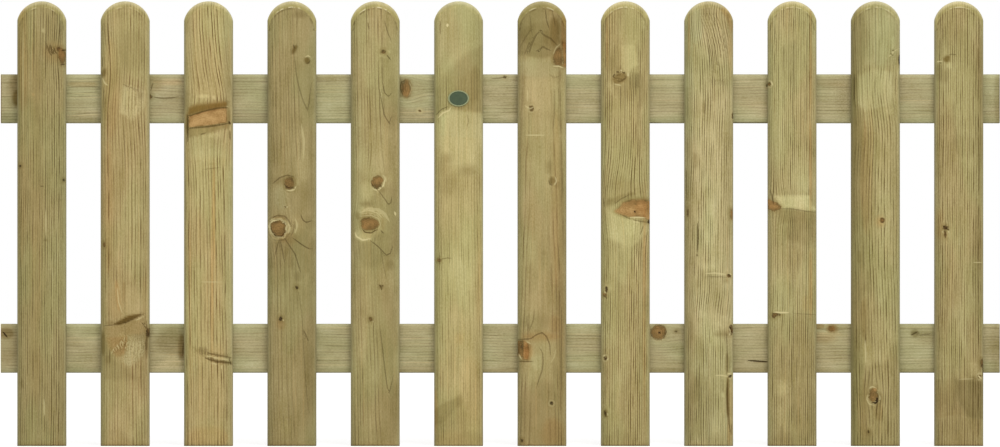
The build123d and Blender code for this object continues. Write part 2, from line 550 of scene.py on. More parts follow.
def tone_patch(across, along, wide, tall, dark, soft=8.0, red=0.0):
    """An oval that only has another tone than its board: darker, paler where dark is below 0, or redder."""
    return Patch((across, along, wide, tall), pale=max(-dark, 0.0), dark=max(dark, 0.0), red=red, soft=soft)


@dataclass
class Line:
    """A thin vein, split or ridge along some points."""

    points: list
    width: float = 1.4
    tone: float = 0.6  # 1 nearly black, 0 as the wood, -1 pale
    hollow: float = 0.0  # how deep it is, in millimetres


@dataclass
class Bend:
    """A place where the grain is shifted sideways."""

    across: float
    along: float
    wide: float
    tall: float
    shift: float


@dataclass
class Board:
    """How one board was cut from its tree and what it carries."""

    warmth: float  # -1 grey, 0 olive, 1 orange tan
    light: float  # 1 is plain
    spacing: float  # of the growth rings
    contrast: float  # of their dark lines
    pith: tuple  # where the tree's middle lies, across and behind the face, where along is 0
    slope: tuple = (0, 0)  # how far the pith moves per metre
    wander: float = 3.0  # how far the lines drift
    # The light and dark waves are painted sheen, the shimmer of bent fibres, over the wood's own tone.
    wave: float = 0.5  # strength of light and dark waves
    worn: float = 0.13  # how much paler the middle is than the edges
    # torn also sets the painted shade on that line and the painted highlight along the top's edge.
    torn: float = 0.5  # how dark the saw left the line under its top
    knots: list = field(default_factory=list)
    patches: list = field(default_factory=list)
    tones: list = field(default_factory=list)  # each a tone_patch's values
    lines: list = field(default_factory=list)  # each a Line's values
    bends: list = field(default_factory=list)

    def __post_init__(self):
        self.patches = self.patches + [tone_patch(*tone) for tone in self.tones]
        self.lines = [Line(*line) for line in self.lines]


boards = {}

# %% [markdown]
# ## The twelve pickets
# Most were cut far to one side of the pith, the middle of the tree, so that their growth rings show as straight lines.
# The fourth, fifth and seventh were cut just above it, so the lines thin out there and only a few arches show, which
# are veins.
#
# The first picket is plain, with a split knot at its right edge under the top.

# %% Picket one
boards["picket_01"] = Board(
    warmth=0.15, light=0.888, spacing=4.2, contrast=0.75, pith=(-170, 14), slope=(3, 0), wave=0.35, torn=0.3,
    knots=[
        Knot([(30, 716), (36, 716), (43, 708), (43, 698), (40, 688), (35, 689), (31, 698), (32, 708)], 0.46, 0.8, 0, 2),
        Knot((31, 714, 7, 7), 0.75, 0, 0, 2), Knot((38, 687, 8, 4), 0.7, 0, 0), Knot((-38, 503, 3.5, 5), 0.9, ring=0),
        Knot((40, 478, 4, 5), 0.9, ring=0),
    ],
    patches=[
    ],
    tones=[
        (22, 708, 40, 34, 0.12, 10, 0.3), (-10, 420, 24, 700, 0.12, 8, 0.15), (3, 747, 5, 7, -0.9, 2),
        (22, 755, 36, 60, 0.15), (14, 300, 14, 560, 0.1), (20, 310, 22, 360, -0.14), (-15, 632, 5, 5, -0.4, 2, 0.6),
        (8, 370, 9, 5, 0.5, 2), (-35, 112, 6, 16, 0.4, 3), (-34, 700, 22, 200, 0.12, 8, 0.4),
        (-34, 480, 16, 300, 0, 8, 0.2), (-21, 350, 10, 700, 0.12), (36, 750, 16, 60, -0.2), (34, 270, 18, 160, -0.12),
    ],
    lines=[
        ([(10, 722), (13, 710), (18, 702)], 1.6), ([(16, 721), (18, 711), (22, 704)], 1.8, 0.7),
        ([(22, 718), (24, 710), (28, 705)], 1.8, 0.7), ([(8, 745), (8, 714)], 1.4, 0.4),
        ([(34, 765), (34, 718)], 1.4, 0.4), ([(36, 711), (44, 712)], 2, 0.8), ([(8, 425), (8, 380)], 1.4, -0.5),
        ([(5, 84), (5, 54)], 1.5, -0.6), ([(-33, 750), (-33, 560)], 1.5, -0.35), ([(-13, 770), (-13, 690)], 1.4, 0.35),
        ([(-2, 467), (4, 467)], 1.4, 0.6),
    ],
)

# %% [markdown]
# The second has a dark slit across it at the lower rail, with ruffled fibres below, and a pale, streaked place at the
# upper rail.

# %% Picket two
boards["picket_02"] = Board(
    warmth=0.85, light=0.91, spacing=5.2, contrast=0.6, pith=(190, 12), slope=(-6, 0), torn=0.25,
    knots=[
        Knot((42, 204, 7, 15), 0.72, ring=0, soft=2), Knot((-37, 362, 3, 8), 0.7, ring=0, soft=1.5),
    ],
    patches=[
        Patch((-38, 671, 9, 16, -15), dark=0.75, soft=3), Patch((12, 712, 44, 70), dark=0.24, plain=0.5, soft=12),
        Patch([(-3, 646), (12, 647), (36, 638), (34, 610), (24, 596), (14, 584), (4, 590), (-9, 602)], pale=0.6,
              red=-0.2, rough=0.1, soft=4),
        Patch((2, 258, 80, 56), pale=0.12, plain=0.7, soft=12), Patch((-13, 270, 7, 56, 5), pale=0.2, red=0.5, soft=3),
        Patch([(-24, 217), (-8, 227), (6, 235), (34, 239), (22, 231), (4, 222), (-10, 217)], dark=1.0, red=0.1,
              plain=1, soft=2),
        Patch([(-38, 214), (-8, 218), (8, 223), (36, 236), (40, 214), (34, 200), (-10, 196), (-36, 188)], dark=0.26,
              red=0.1, plain=0.9, rough=0.4, soft=3),
        Patch([(-34, 196), (6, 198), (10, 184), (2, 166), (-14, 160), (-30, 176)], dark=0.3, red=0.35, plain=0.9,
              rough=0.8, soft=4),
        Patch([(6, 198), (36, 202), (36, 168), (22, 152), (8, 142), (-6, 154), (4, 178)], pale=0.12, red=-0.5,
              plain=0.9, rough=0.8, soft=4),
        Patch((-39, 184, 10, 44), dark=0.7, plain=0.5, soft=4),
        Patch([(-40, 168), (4, 141), (24, 120), (-40, 118)], dark=0.3),
    ],
    tones=[
        (-26, 640, 30, 180, 0.05, 8, 0.25), (25, 640, 8, 5, -0.6, 2), (-6, 602, 8, 8, -0.6, 3),
        (-30, 430, 16, 240, 0, 8, 0.3), (-2, 275, 6, 40, 0.3, 3, 0.2), (35, 268, 7, 70, 0.12, 4, 0.2),
        (8, 62, 50, 90, -0.26), (39, 178, 8, 40, 0.55, 3), (10, 420, 34, 240, -0.16, 14), (-34, 160, 22, 50, 0.3),
        (-16, 255, 30, 56, 0.14, 8, 0.15), (28, 198, 26, 18, 0.42, 8, 0.15), (-26, 221, 16, 9, 0.5, 3),
        (-5, 199, 14, 10, -0.4, 4), (-31, 155, 16, 20, 0.55, 6), (26, 633, 12, 16, 0.4, 5),
    ],
    lines=[
        ([(-3, 650), (10, 645), (25, 639)], 1.4, 0.4), ([(-38, 645), (-38, 605)], 1.4, 0.4),
        ([(39, 226), (40, 170)], 1.8), ([(-31, 760), (-28, 715), (-30, 690)], 1.4, 0.3),
        ([(-40, 661), (-36, 652), (-30, 648)], 2, -0.5),
        ([(-38, 216), (-18, 218), (2, 222), (16, 229), (36, 238)], 1.8, 0.55),
        ([(30, 222), (37, 214), (42, 208)], 2.2, 0.6), ([(-40, 700), (-40, 680)], 1.6, 0.5),
        ([(20, 226), (34, 233)], 1.6, -0.5), ([(-14, 285), (-11, 258), (-5, 240)], 1.5, -0.5),
        *(([(x, 196 - abs(x)), (x - 6, 176 - abs(x) / 2)], 1.3, -0.5) for x in range(-18, 8, 6)),
        *(([(x, 193 - abs(x)), (x - 6, 173 - abs(x) / 2)], 1.2, 0.4) for x in range(-15, 8, 6)),
        *(([(x, 188), (x - 3, 160)], 1.2, tone) for x, tone in zip(range(10, 34, 3), [-0.4, 0.25] * 4)),
        ([(-22, 218), (-4, 224), (12, 231), (30, 237)], 7, 0.3), ([(40, 200), (39, 186), (38, 172)], 2.4, 0.6),
        ([(34, 217), (39, 213)], 2, -0.6), *(([(x, 636), (x - 3, 596)], 1.4, -0.35) for x in range(-1, 24, 6)),
        *(([(x, 644), (x - 2, 602)], 1.1, 0.3) for x in range(2, 34, 6)), ([(19, 645), (20, 612)], 1.4, 0.4),
        ([(29, 640), (30, 612)], 1.4, 0.35),
    ],
    bends=[
        Bend(-30, 672, 22, 60, -6), Bend(10, 610, 30, 60, 4),
    ],
)

# %% [markdown]
# On the third a chip has split off at the upper rail and left a clean orange step. Lower down, two dark cracks run
# across.

# %% Picket three
boards["picket_03"] = Board(
    warmth=0.65, light=0.966, spacing=5.4, contrast=0.8, pith=(-120, 20), slope=(-12, 0), wander=4, wave=0.4,
    torn=0.15,
    knots=[Knot([(-35, 592), (-11, 600), (12, 605), (33, 608), (33, 582), (2, 577), (-35, 573)], 0.06, 0.2, 0, 0.7)],
    patches=[
        Patch([(-39, 592), (-37, 609), (-22, 615), (8, 618), (30, 621), (38, 621), (35, 609), (-11, 600)], dark=1.0,
              red=0.35, plain=1, rough=0.4, soft=6),
        Patch([(-36, 571), (38, 580), (38, 573), (26, 570), (4, 563), (-14, 559), (-36, 554)], dark=0.5, plain=1,
              soft=2),
        Patch((37, 592, 7, 30), dark=0.6, plain=0.8, soft=3), Patch((-38, 580, 6, 40), dark=0.7, plain=0.8, soft=2),
        Patch([(-34, 556), (-14, 559), (34, 569), (38, 540), (36, 520), (-32, 520)], red=-0.3, plain=0.5),
        Patch((4, 638, 40, 26), plain=0.6), Patch((-38, 710, 20, 220), plain=0.7, red=-0.4),
        Patch((36, 710, 20, 220), plain=0.7, red=-0.5, dark=0.1), Patch((38, 250, 12, 500), plain=0.5, red=-0.5),
        Patch((4, 166, 70, 30), dark=0.05, red=0.1, plain=0.5, soft=12),
        Patch([(-26, 178), (-4, 172), (16, 167), (38, 165), (38, 159), (14, 160), (-6, 163), (-24, 168)], dark=0.4,
              plain=0.7, rough=0.8, soft=4),
        Patch([(-12, 163), (8, 156), (26, 153), (43, 153), (43, 146), (26, 147), (8, 150)], dark=0.5, red=0.1,
              plain=0.7, rough=0.8, soft=4),
        Patch([(4, 161), (16, 160), (36, 159), (38, 154), (14, 156)], pale=0.5, plain=0.6, soft=1.5),
        Patch((10, 350, 50, 200), plain=0.2, soft=14), Patch((0, 70, 80, 120), plain=0.35, soft=14),
    ],
    tones=[
        (-8, 629, 20, 7, -0.6, 2), (10, 627, 5, 6, -0.6, 2), (10, 420, 4, 180, 0, 2, 0.7), (7, 290, 4, 300, 0, 2, 0.5),
        (-33, 240, 5, 300, 0, 3, 0.3), (-37, 612, 14, 24, 0.4, 5), (37, 632, 14, 70, 0.3), (-38, 765, 16, 50, 0.2),
        (-38, 620, 14, 40, 0.35), (0, 524, 70, 26, -0.12), (-20, 100, 14, 90, 0.18), (0, 15, 80, 40, 0, 8, 0.25),
        (31, 621, 10, 10, 0.5, 3), (22, 600, 20, 7, -0.8, 3), (-32, 611, 10, 10, 0.4, 4), (31, 575, 12, 10, 0.65, 4),
        (10, 559, 22, 10, -0.4, 4),
    ],
    lines=[
        ([(-36, 593), (-11, 601), (14, 607), (35, 609)], 1.8, 0.6), ([(-37, 596), (-37, 575), (-37, 547)], 2, 0.7),
        ([(-36, 571), (5, 575), (38, 580)], 2.4, 0.65, 0.6), ([(37, 584), (40, 578)], 2.4, 0.9),
        ([(38, 568), (39, 550)], 2, 0.6), ([(-14, 560), (-4, 563)], 2, 0.5),
        ([(-4, 168), (8, 165), (22, 162), (34, 160), (43, 158)], 3.2, 0.5),
        ([(-6, 158), (4, 155), (14, 152), (26, 151), (42, 149)], 3.8, 0.7, 0.6), ([(-12, 295), (24, 295)], 1.2, -0.4),
        ([(-9, 497), (22, 501)], 1.2, 0.3), ([(38, 156), (41, 146)], 2, 0.8), ([(33, 612), (36, 608)], 3, -0.5),
        *(([(x, 178), (x + 1, 162)], 1.4, 0.4) for x in (-16, -12, -7, -3)),
        ([(-3, 162), (8, 159), (18, 157)], 2.2, -0.6), ([(24, 156), (40, 154)], 1.8, -0.4),
        ([(24, 146), (24, 138)], 2, -0.5), ([(6, 149), (16, 147)], 1.6, -0.5), ([(2, 160), (14, 156)], 1.4, 0.5),
    ],
    bends=[
        Bend(0, 790, 90, 110, 10), Bend(10, 630, 50, 40, -6),
    ],
)

# %% [markdown]
# The fourth was cut just above the pith. Two knots stand one above the other, and the grain swirls round them.

# %% Picket four
boards["picket_04"] = Board(
    warmth=0.45, light=0.842, spacing=4.8, contrast=0.42, pith=(30, 40), slope=(-5, -31), wave=0.6, torn=0.7,
    knots=[
        Knot([(-13, 472), (-11, 480), (-3, 484), (3, 481), (4, 472), (1, 464), (-4, 461), (-11, 464)], 0.52, 0.7, 0, 2),
        Knot([(-37, 400), (-35, 386), (-29, 378), (-17, 378), (-11, 387), (-12, 399), (-20, 405), (-32, 405)], 0.5,
             0.7, 0.9, 1.5),
        Knot((9, 285, 5, 6), 0.75, ring=0), Knot((-20, 229, 6, 8), 0.9, ring=0),
    ],
    patches=[
        Patch((5, 713, 8, 18, -25), dark=0.9, soft=2.5), Patch((28, 693, 11, 13, 25), dark=0.9, red=0.1, soft=3),
        Patch((-22, 411, 26, 9), dark=0.3, red=0.2, plain=0.8, soft=3),
        Patch((-20, 447, 26, 44), pale=0.24, red=-0.5, plain=0.8), Patch((0, 430, 100, 180), plain=0.75, soft=24),
        Patch((-26, 478, 26, 14), dark=0.25, plain=0.8, soft=5), Patch((16, 700, 56, 120), plain=0.6, soft=14),
        Patch([(6, 690), (14, 645), (28, 606), (36, 650), (30, 690)], dark=0.14, soft=4),
    ],
    tones=[
        (28, 315, 10, 7, 0.35, 3), (-30, 345, 26, 50, 0.2), (10, 535, 40, 70, -0.2, 14), (-29, 374, 20, 5, -0.3, 2),
        (8, 395, 26, 40, -0.2, 8, 0.15), (28, 250, 26, 220, 0.15), (0, 300, 60, 160, 0.1),
        (-14, 140, 28, 290, -0.2, 10), (32, 140, 26, 290, 0.2, 10), (4, 358, 90, 40, 0.26, 12), (26, 645, 26, 90, 0.2),
        (20, 505, 30, 60, -0.38), (-2, 752, 34, 70, -0.18), (34, 694, 6, 12, -0.4, 2), (-20, 219, 16, 18, 0.2, 5, 0.3),
        (20, 345, 26, 100, 0.28), (-4, 374, 36, 22, 0.3, 5, 0.2), (30, 400, 24, 30, 0.2), (-37, 150, 14, 290, -0.14),
        (22, 250, 16, 100, 0.2), (-34, 700, 14, 180, -0.1), (11, 475, 6, 14, -0.6, 3), (-15, 371, 16, 8, 0.6, 3),
        (15, 776, 22, 14, 0.4, 5), (11, 305, 16, 20, 0.45, 6), (-11, 33, 18, 30, -0.45, 7), (-1, 331, 14, 24, 0.42, 6),
    ],
    lines=[
        ([(5, 700), (8, 670), (13, 645), (21, 619), (28, 605), (31, 616), (35, 652)], 1.6, 0.42),
        ([(-13, 470), (-8, 465), (-1, 463), (4, 466)], 1.6, 0.7), ([(8, 467), (4, 461), (-2, 459), (-9, 460)], 2, -0.7),
        ([(-34, 472), (-22, 482), (-8, 487), (3, 484)], 2, 0.5),
        ([(-38, 398), (-36, 386), (-29, 377), (-18, 377), (-10, 387)], 1.6, 0.75),
        ([(-36, 409), (-26, 415), (-12, 413), (-4, 404), (0, 394)], 1.5, 0.5),
        ([(-7, 402), (-3, 394), (-6, 382)], 2.6, -0.5), ([(6, 410), (10, 397), (6, 382)], 2.6, -0.4),
        ([(4, 404), (5, 392), (0, 380)], 1.4, 0.4), ([(-23, 370), (-31, 340)], 1.4, 0.45),
        ([(-20, 368), (-13, 330)], 1.4, 0.5), ([(-12, 372), (6, 345), (16, 312)], 1.5, 0.55),
        ([(2, 374), (18, 362), (32, 354), (36, 355)], 1.6), ([(16, 416), (20, 406), (26, 402), (36, 405)], 1.6, 0.6),
        ([(22, 208), (30, 188)], 1.6, 0.5), ([(10, 290), (18, 240), (24, 130), (30, 60)], 1.2, 0.3),
        ([(-13, 432), (-10, 428)], 2.4, 0.6), ([(-10, 428), (-7, 431)], 2, -0.6), ([(2, 722), (6, 714)], 2, 0.5),
        ([(25, 688), (30, 688), (33, 693)], 1.6, 0.5), ([(24, 699), (29, 702), (34, 699)], 1.8, -0.5),
        ([(-16, 228), (-14, 224)], 2, -0.6), ([(12, 282), (13, 278)], 1.8, -0.5),
        ([(17, 580), (22, 548), (20, 512)], 3.4, -0.35), ([(12, 570), (16, 540), (15, 515)], 1.6, 0.25),
        ([(-15, 404), (-11, 396)], 2.2, 0.5),
    ],
)

# %% [markdown]
# The fifth is cut like the fourth, with its two knots at the same height, and a wide pale ring round the lower one.

# %% Picket five
boards["picket_05"] = Board(
    warmth=0.4, light=0.889, spacing=4.8, contrast=0.5, pith=(30, 38), slope=(-3, -30), wave=0.6, torn=0.8,
    knots=[
        Knot([(-7, 475), (-3, 483), (8, 487), (14, 479), (10, 467), (3, 463), (-5, 468)], 0.48, 0.7, 0.2, 1.6),
        Knot([(-26, 408), (-13, 412), (4, 406), (7, 398), (2, 391), (-7, 388), (-18, 388), (-24, 393)], 0.44, ring=0,
             soft=2),
        Knot((15, 709, 8, 6), 0.6, ring=0, soft=2), Knot((-8, 228, 6, 8), 0.55, ring=0),
    ],
    patches=[
        Patch([(-38, 415), (-28, 427), (-13, 430), (5, 427), (17, 415), (21, 405), (17, 393), (7, 380), (-8, 372),
               (-23, 370), (-35, 378), (-39, 395)], pale=0.24, red=0.1, plain=1, soft=3),
        Patch([(-26, 418), (-8, 418), (4, 413), (-12, 409), (-28, 408)], dark=0.25, plain=1, soft=3),
        Patch((-4, 430, 90, 170), plain=0.75, soft=24),
        Patch([(-36, 384), (-30, 388), (-18, 379), (-4, 376), (-8, 370), (-24, 368), (-36, 374)], pale=0.5, plain=1,
              soft=3),
        Patch((20, 180, 34, 220), dark=0.18, plain=0.4), Patch((22, 358, 46, 50), dark=0.28, plain=0.7),
        Patch((0, 300, 90, 120), plain=0.5, soft=16), Patch((-16, 456, 20, 20), pale=0.3, plain=0.6, soft=6),
        Patch([(8, 456), (26, 440), (38, 424), (38, 462), (20, 468)], dark=0.22, soft=5),
        Patch([(26, 420), (40, 402), (38, 362), (12, 352), (10, 370), (25, 390)], dark=0.2, soft=5),
    ],
    tones=[
        (11, 286, 10, 9, 0.6, 2.5), (14, 400, 8, 26, 0.2, 3, 0.2), (-14, 460, 20, 34, -0.65, 6),
        (24, 709, 7, 7, -0.7, 2), (28, 415, 22, 80, 0.25), (-5, 515, 50, 70, -0.25), (-24, 190, 20, 90, -0.2),
        (-28, 60, 20, 140, 0.12), (-8, 700, 36, 110, -0.22), (28, 612, 28, 90, 0.22), (3, 548, 34, 70, -0.36),
        (30, 60, 30, 130, 0.2), (-8, 346, 50, 50, 0.28), (14, 374, 34, 24, 0.3), (36, 495, 16, 40, -0.25),
        (-35, 150, 16, 280, -0.14), (14, 50, 30, 110, 0.16), (-36, 405, 14, 30, 0.25), (-34, 480, 18, 400, 0, 8, -0.25),
        (36, 330, 14, 240, 0, 8, -0.25), (-32, 414, 10, 14, 0.6, 4), (-17, 435, 22, 8, 0.35, 3),
        (14, 460, 10, 10, 0.5, 4), (13, 702, 10, 6, -0.6, 3), (29, 485, 10, 20, -0.45, 4), (27, 327, 14, 20, 0.42, 5),
    ],
    lines=[
        ([(-7, 473), (-2, 464), (4, 462), (11, 468)], 1.6, 0.75),
        ([(18, 482), (15, 468), (4, 459), (-5, 463)], 2, -0.8),
        ([(7, 458), (16, 446), (24, 434), (28, 437), (30, 447)], 1.6, 0.5),
        ([(-24, 391), (-18, 384), (-7, 383), (3, 389)], 1.6, 0.75),
        ([(-36, 384), (-34, 377), (-22, 370), (-8, 373)], 2.4, -0.8),
        ([(-28, 420), (-12, 424), (4, 419), (13, 410)], 1.4, -0.5),
        ([(-26, 413), (-8, 415), (6, 409), (10, 398), (4, 386)], 1.2, -0.4), ([(10, 388), (15, 382)], 2, 0.6),
        ([(-8, 369), (5, 359), (20, 343), (27, 346), (31, 358)], 1.4, 0.55),
        ([(13, 655), (17, 635), (24, 628), (29, 634)], 1.3, 0.5),
        ([(8, 640), (16, 596), (25, 580), (29, 592)], 1.4, 0.55),
        ([(10, 205), (16, 150), (22, 104), (26, 97), (32, 124)], 1.3, 0.5),
        ([(17, 765), (22, 745), (29, 728)], 1.6, 0.45), ([(-13, 762), (-11, 748)], 2, 0.5),
        ([(21, 703), (28, 694)], 1.6, 0.6), ([(10, 350), (16, 320), (20, 300)], 1.2, 0.3),
        ([(8, 290), (12, 284)], 1.6, 0.7), ([(35, 422), (37, 414)], 3, -0.7),
        ([(6, 290), (10, 287), (15, 289)], 1.8, 0.7), ([(11, 287), (12, 280)], 1.8, 0.7),
        ([(-4, 226), (-3, 222)], 1.6, -0.4), ([(-22, 424), (-14, 427), (4, 426), (17, 418), (26, 403)], 5, -0.36),
        ([(13, 488), (19, 482), (20, 474)], 2.4, -0.4),
    ],
)

# %% [markdown]
# The sixth is the palest. It has broad soft shadows, and the badge is pinned to it.

# %% Picket six
boards["picket_06"] = Board(
    warmth=0.2, light=0.984, spacing=5.0, contrast=0.42, pith=(-150, 10), slope=(-10, 0), wave=0.4, torn=0.0,
    knots=[Knot((-35, 334, 6, 6, 15), 0.6, ring=0, soft=2)],
    patches=[
        Patch([(46, 722), (24, 714), (8, 702), (-10, 688), (-28, 666), (-44, 640), (-44, 598), (-30, 600), (-14, 606),
               (32, 600), (46, 596)], dark=0.4, red=-0.3, soft=10),
        Patch((0, 735, 100, 150), red=-0.5, dark=0.06, plain=0.6, soft=14),
        Patch([(-34, 590), (-14, 606), (32, 600), (46, 600), (46, 552), (-34, 556), (-31, 570)], pale=0.38, red=-0.4,
              plain=0.6, soft=3),
        Patch([(-42, 580), (56, 580), (56, 500), (24, 484), (4, 488), (-16, 508), (-30, 526), (-42, 544)], pale=0.38,
              red=-0.2, plain=0.6, soft=13),
        Patch((10, 520, 50, 36, 12), pale=0.42, red=0.1, soft=14),
        Patch([(-44, 66), (-26, 79), (-8, 85), (5, 94), (8, 80), (2, 70), (-4, 66), (-14, 54), (-24, 42), (-44, 36)],
              dark=0.42, soft=4),
    ],
    tones=[
        (30, 646, 32, 90, 0.6, 14, -0.2), (24, 590, 24, 30, 0.1), (-28, 500, 24, 30, 0.2), (-14, 45, 46, 60, 0.2, 12),
        (12, 230, 44, 300, -0.2), (-38, 240, 9, 330, 0.2, 8, -0.2), (36, 320, 10, 200, 0, 8, 0.2),
        (12, 405, 28, 110, -0.26), (-20, 285, 18, 80, -0.2), (8, 185, 24, 120, -0.36), (-22, 470, 36, 40, 0.18),
        (-34, 735, 20, 100, -0.16), (0, 12, 100, 30, 0.24, 8, 0.15), (-30, 285, 24, 100, -0.16),
        (20, 80, 50, 160, 0, 8, 0.15), (-42, 62, 9, 80, 0, 4, 0.5), (-20, 46, 44, 70, 0.25, 14),
        (17, 495, 28, 20, 0.5, 9), (-21, 517, 18, 20, 0.4, 7), (31, 615, 10, 14, -0.45, 5),
        (1, 193, 14, 20, -0.35, 6, 0.2),
    ],
    lines=[
        ([(-37, 590), (-28, 599), (-17, 603), (-13, 610)], 2.4, -0.7), ([(-40, 596), (-31, 605), (-20, 610)], 1.5, 0.5),
        ([(-30, 336), (-20, 338), (-12, 337)], 1.6, 0.4), ([(-33, 765), (-33, 740)], 1.6, 0.5),
        ([(-20, 760), (-20, 753)], 3.6, -1.0), ([(14, 600), (18, 585), (14, 570)], 1.2, 0.3),
        ([(-34, 348), (-34, 322)], 1.4, 0.4),
    ],
)

# %% [markdown]
# The seventh is dark under its top, where a few rings show as arches, and has a knot at each edge.

# %% Picket seven
boards["picket_07"] = Board(
    warmth=0.78, light=0.878, spacing=5.4, contrast=0.5, pith=(-4, 24), slope=(4, 28), torn=0.7,
    knots=[
        Knot([(20, 698), (24, 711), (31, 717), (36, 710), (37, 692), (34, 684), (24, 684), (21, 690)], 0.48, 0.7, 0, 2),
        Knot([(36, 728), (44, 724), (44, 682), (38, 682), (38, 700)], 0.36, 0, 0, 2),
        Knot((-19, 607, 8, 10), 0.55, ring=0.3, soft=2.5), Knot((17, 77, 5, 6), 0.9, ring=0.4),
        Knot([(-44, 188), (-34, 190), (-34, 160), (-44, 164)], 0.55, 0.2, 0, 1.5),
        Knot([(-34, 190), (-25, 184), (-23, 172), (-25, 156), (-34, 155)], 0.22, 0.5, 0, 1),
        Knot((-36, 10, 4, 6), 0.8, ring=0, soft=1),
    ],
    patches=[
        Patch([(-46, 704), (-20, 700), (0, 696), (18, 702), (24, 715), (46, 730), (46, 810), (-46, 810)], dark=0.42,
              red=-0.15, plain=0.7, soft=4),
        Patch((4, 738, 96, 60), dark=0.6, plain=0.7, soft=12),
        Patch((-8, 680, 80, 36), pale=0.1, red=-0.4, plain=0.8, soft=6),
        Patch([(-38, 660), (4, 656), (12, 664), (30, 650), (28, 616), (-36, 620)], pale=0.22, soft=5),
        Patch((0, 60, 80, 120), dark=0.2, plain=0.4),
        Patch([(-18, 158), (-8, 166), (-2, 160), (-2, 140), (-12, 136), (-19, 146)], pale=0.45, red=-0.3, soft=4),
        Patch((0, 160, 70, 110), plain=0.8, soft=14),
    ],
    tones=[
        (18, 477, 11, 14, 0.7, 2.5), (4, 347, 10, 9, 0.35, 3), (22, 744, 26, 60, 0.85), (40, 745, 12, 60, 0, 6, 0.5),
        (-14, 607, 34, 12, -0.4, 5), (26, 440, 18, 320, 0, 8, 0.3), (-4, 540, 30, 120, -0.2),
        (-25, 170, 17, 30, 0.2, 4, 0.45), (-31, 172, 3, 30, -0.5, 1.5), (33, 200, 16, 280, 0.3, 6, 0.1),
        (-10, 222, 56, 30, 0.2), (36, 8, 16, 20, 0.3, 8, 0.3), (-8, 642, 60, 40, -0.32), (37, 410, 16, 180, 0.24),
        (-20, 245, 14, 50, -0.25), (-14, 196, 30, 16, 0.2, 6, 0.2), (4, 350, 26, 40, 0.12, 10),
        (-20, 395, 30, 130, -0.16), (24, 385, 26, 160, 0.18), (2, 622, 30, 44, -0.3), (8, 735, 22, 34, 0.75),
        (0, 197, 70, 16, 0.22, 8, 0.4), (26, 218, 22, 36, 0.3, 8, 0.3), (26, 140, 12, 30, 0.25),
        (20, 20, 44, 60, 0.28, 8, 0.3), (-20, 230, 16, 30, -0.2), (-33, 300, 20, 120, -0.14),
        (-19, 166, 8, 22, -0.55, 3), (-21, 233, 8, 26, -0.45, 4), (-9, 207, 12, 8, 0.4, 4), (27, 470, 10, 16, 0.4, 4),
        (13, 501, 12, 24, 0.4, 6),
    ],
    lines=[
        ([(-23, 706), (-19, 721), (-14, 733), (-9, 741), (-3, 746)], 2.8, 0.42),
        ([(-3, 744), (6, 737), (15, 733), (26, 722)], 2.6, 0.45), ([(-5, 748), (1, 745)], 2.6, 0.6),
        ([(-10, 711), (-3, 714), (2, 718), (8, 714), (16, 711)], 2.2, 0.45),
        ([(-31, 705), (-27, 714), (-23, 726)], 2.2, 0.38), ([(-10, 711), (-4, 709)], 2.6, 0.7),
        ([(6, 785), (8, 766), (13, 750)], 1.6, 0.5), ([(19, 780), (24, 755)], 1.6, 0.4),
        ([(-22, 775), (-18, 740)], 1.4, 0.3), ([(20, 704), (25, 716), (33, 723)], 1.6, -0.3),
        ([(20, 683), (30, 683), (38, 680)], 1.6, -0.7), ([(-29, 559), (4, 559)], 1.1, -0.7),
        ([(-5, 177), (1, 168), (2, 152), (0, 135), (-6, 118), (-10, 105)], 2, 0.45),
        ([(-43, 191), (-20, 193), (-10, 200), (0, 204), (8, 197), (14, 182), (15, 162)], 1.8, 0.55),
        ([(25, 174), (22, 160), (16, 150)], 1.4, -0.3), ([(-42, 152), (-17, 152)], 1.5, 0.6),
        ([(-42, 166), (-37, 156)], 1.8, -0.6), ([(-28, 188), (-20, 184)], 1.6, -0.5),
        ([(-14, 245), (-15, 228), (-22, 209)], 1.6, 0.35), ([(-27, 234), (-29, 214)], 1.4, 0.3),
        ([(35, 250), (35, 100)], 1.5, 0.4), ([(-26, 640), (-26, 620)], 1.6, -0.4),
        ([(-30, 612), (-22, 606), (-14, 610)], 1.8, -0.45), ([(-40, 716), (-30, 734), (-18, 752)], 1.8, 0.3),
        ([(12, 478), (14, 470), (20, 469)], 1.6, 0.5), ([(24, 484), (26, 476), (22, 468)], 1.8, -0.5),
        ([(-5, 606), (-3, 603)], 2.2, 0.5), ([(14, 668), (22, 662), (30, 664)], 2.4, 0.25),
        ([(22, 640), (22, 600), (20, 570)], 1.6, 0.4),
    ],
)

# %% [markdown]
# The eighth has a big orange knot at its right edge, with a pale wedge below, and a small torn one near the top.

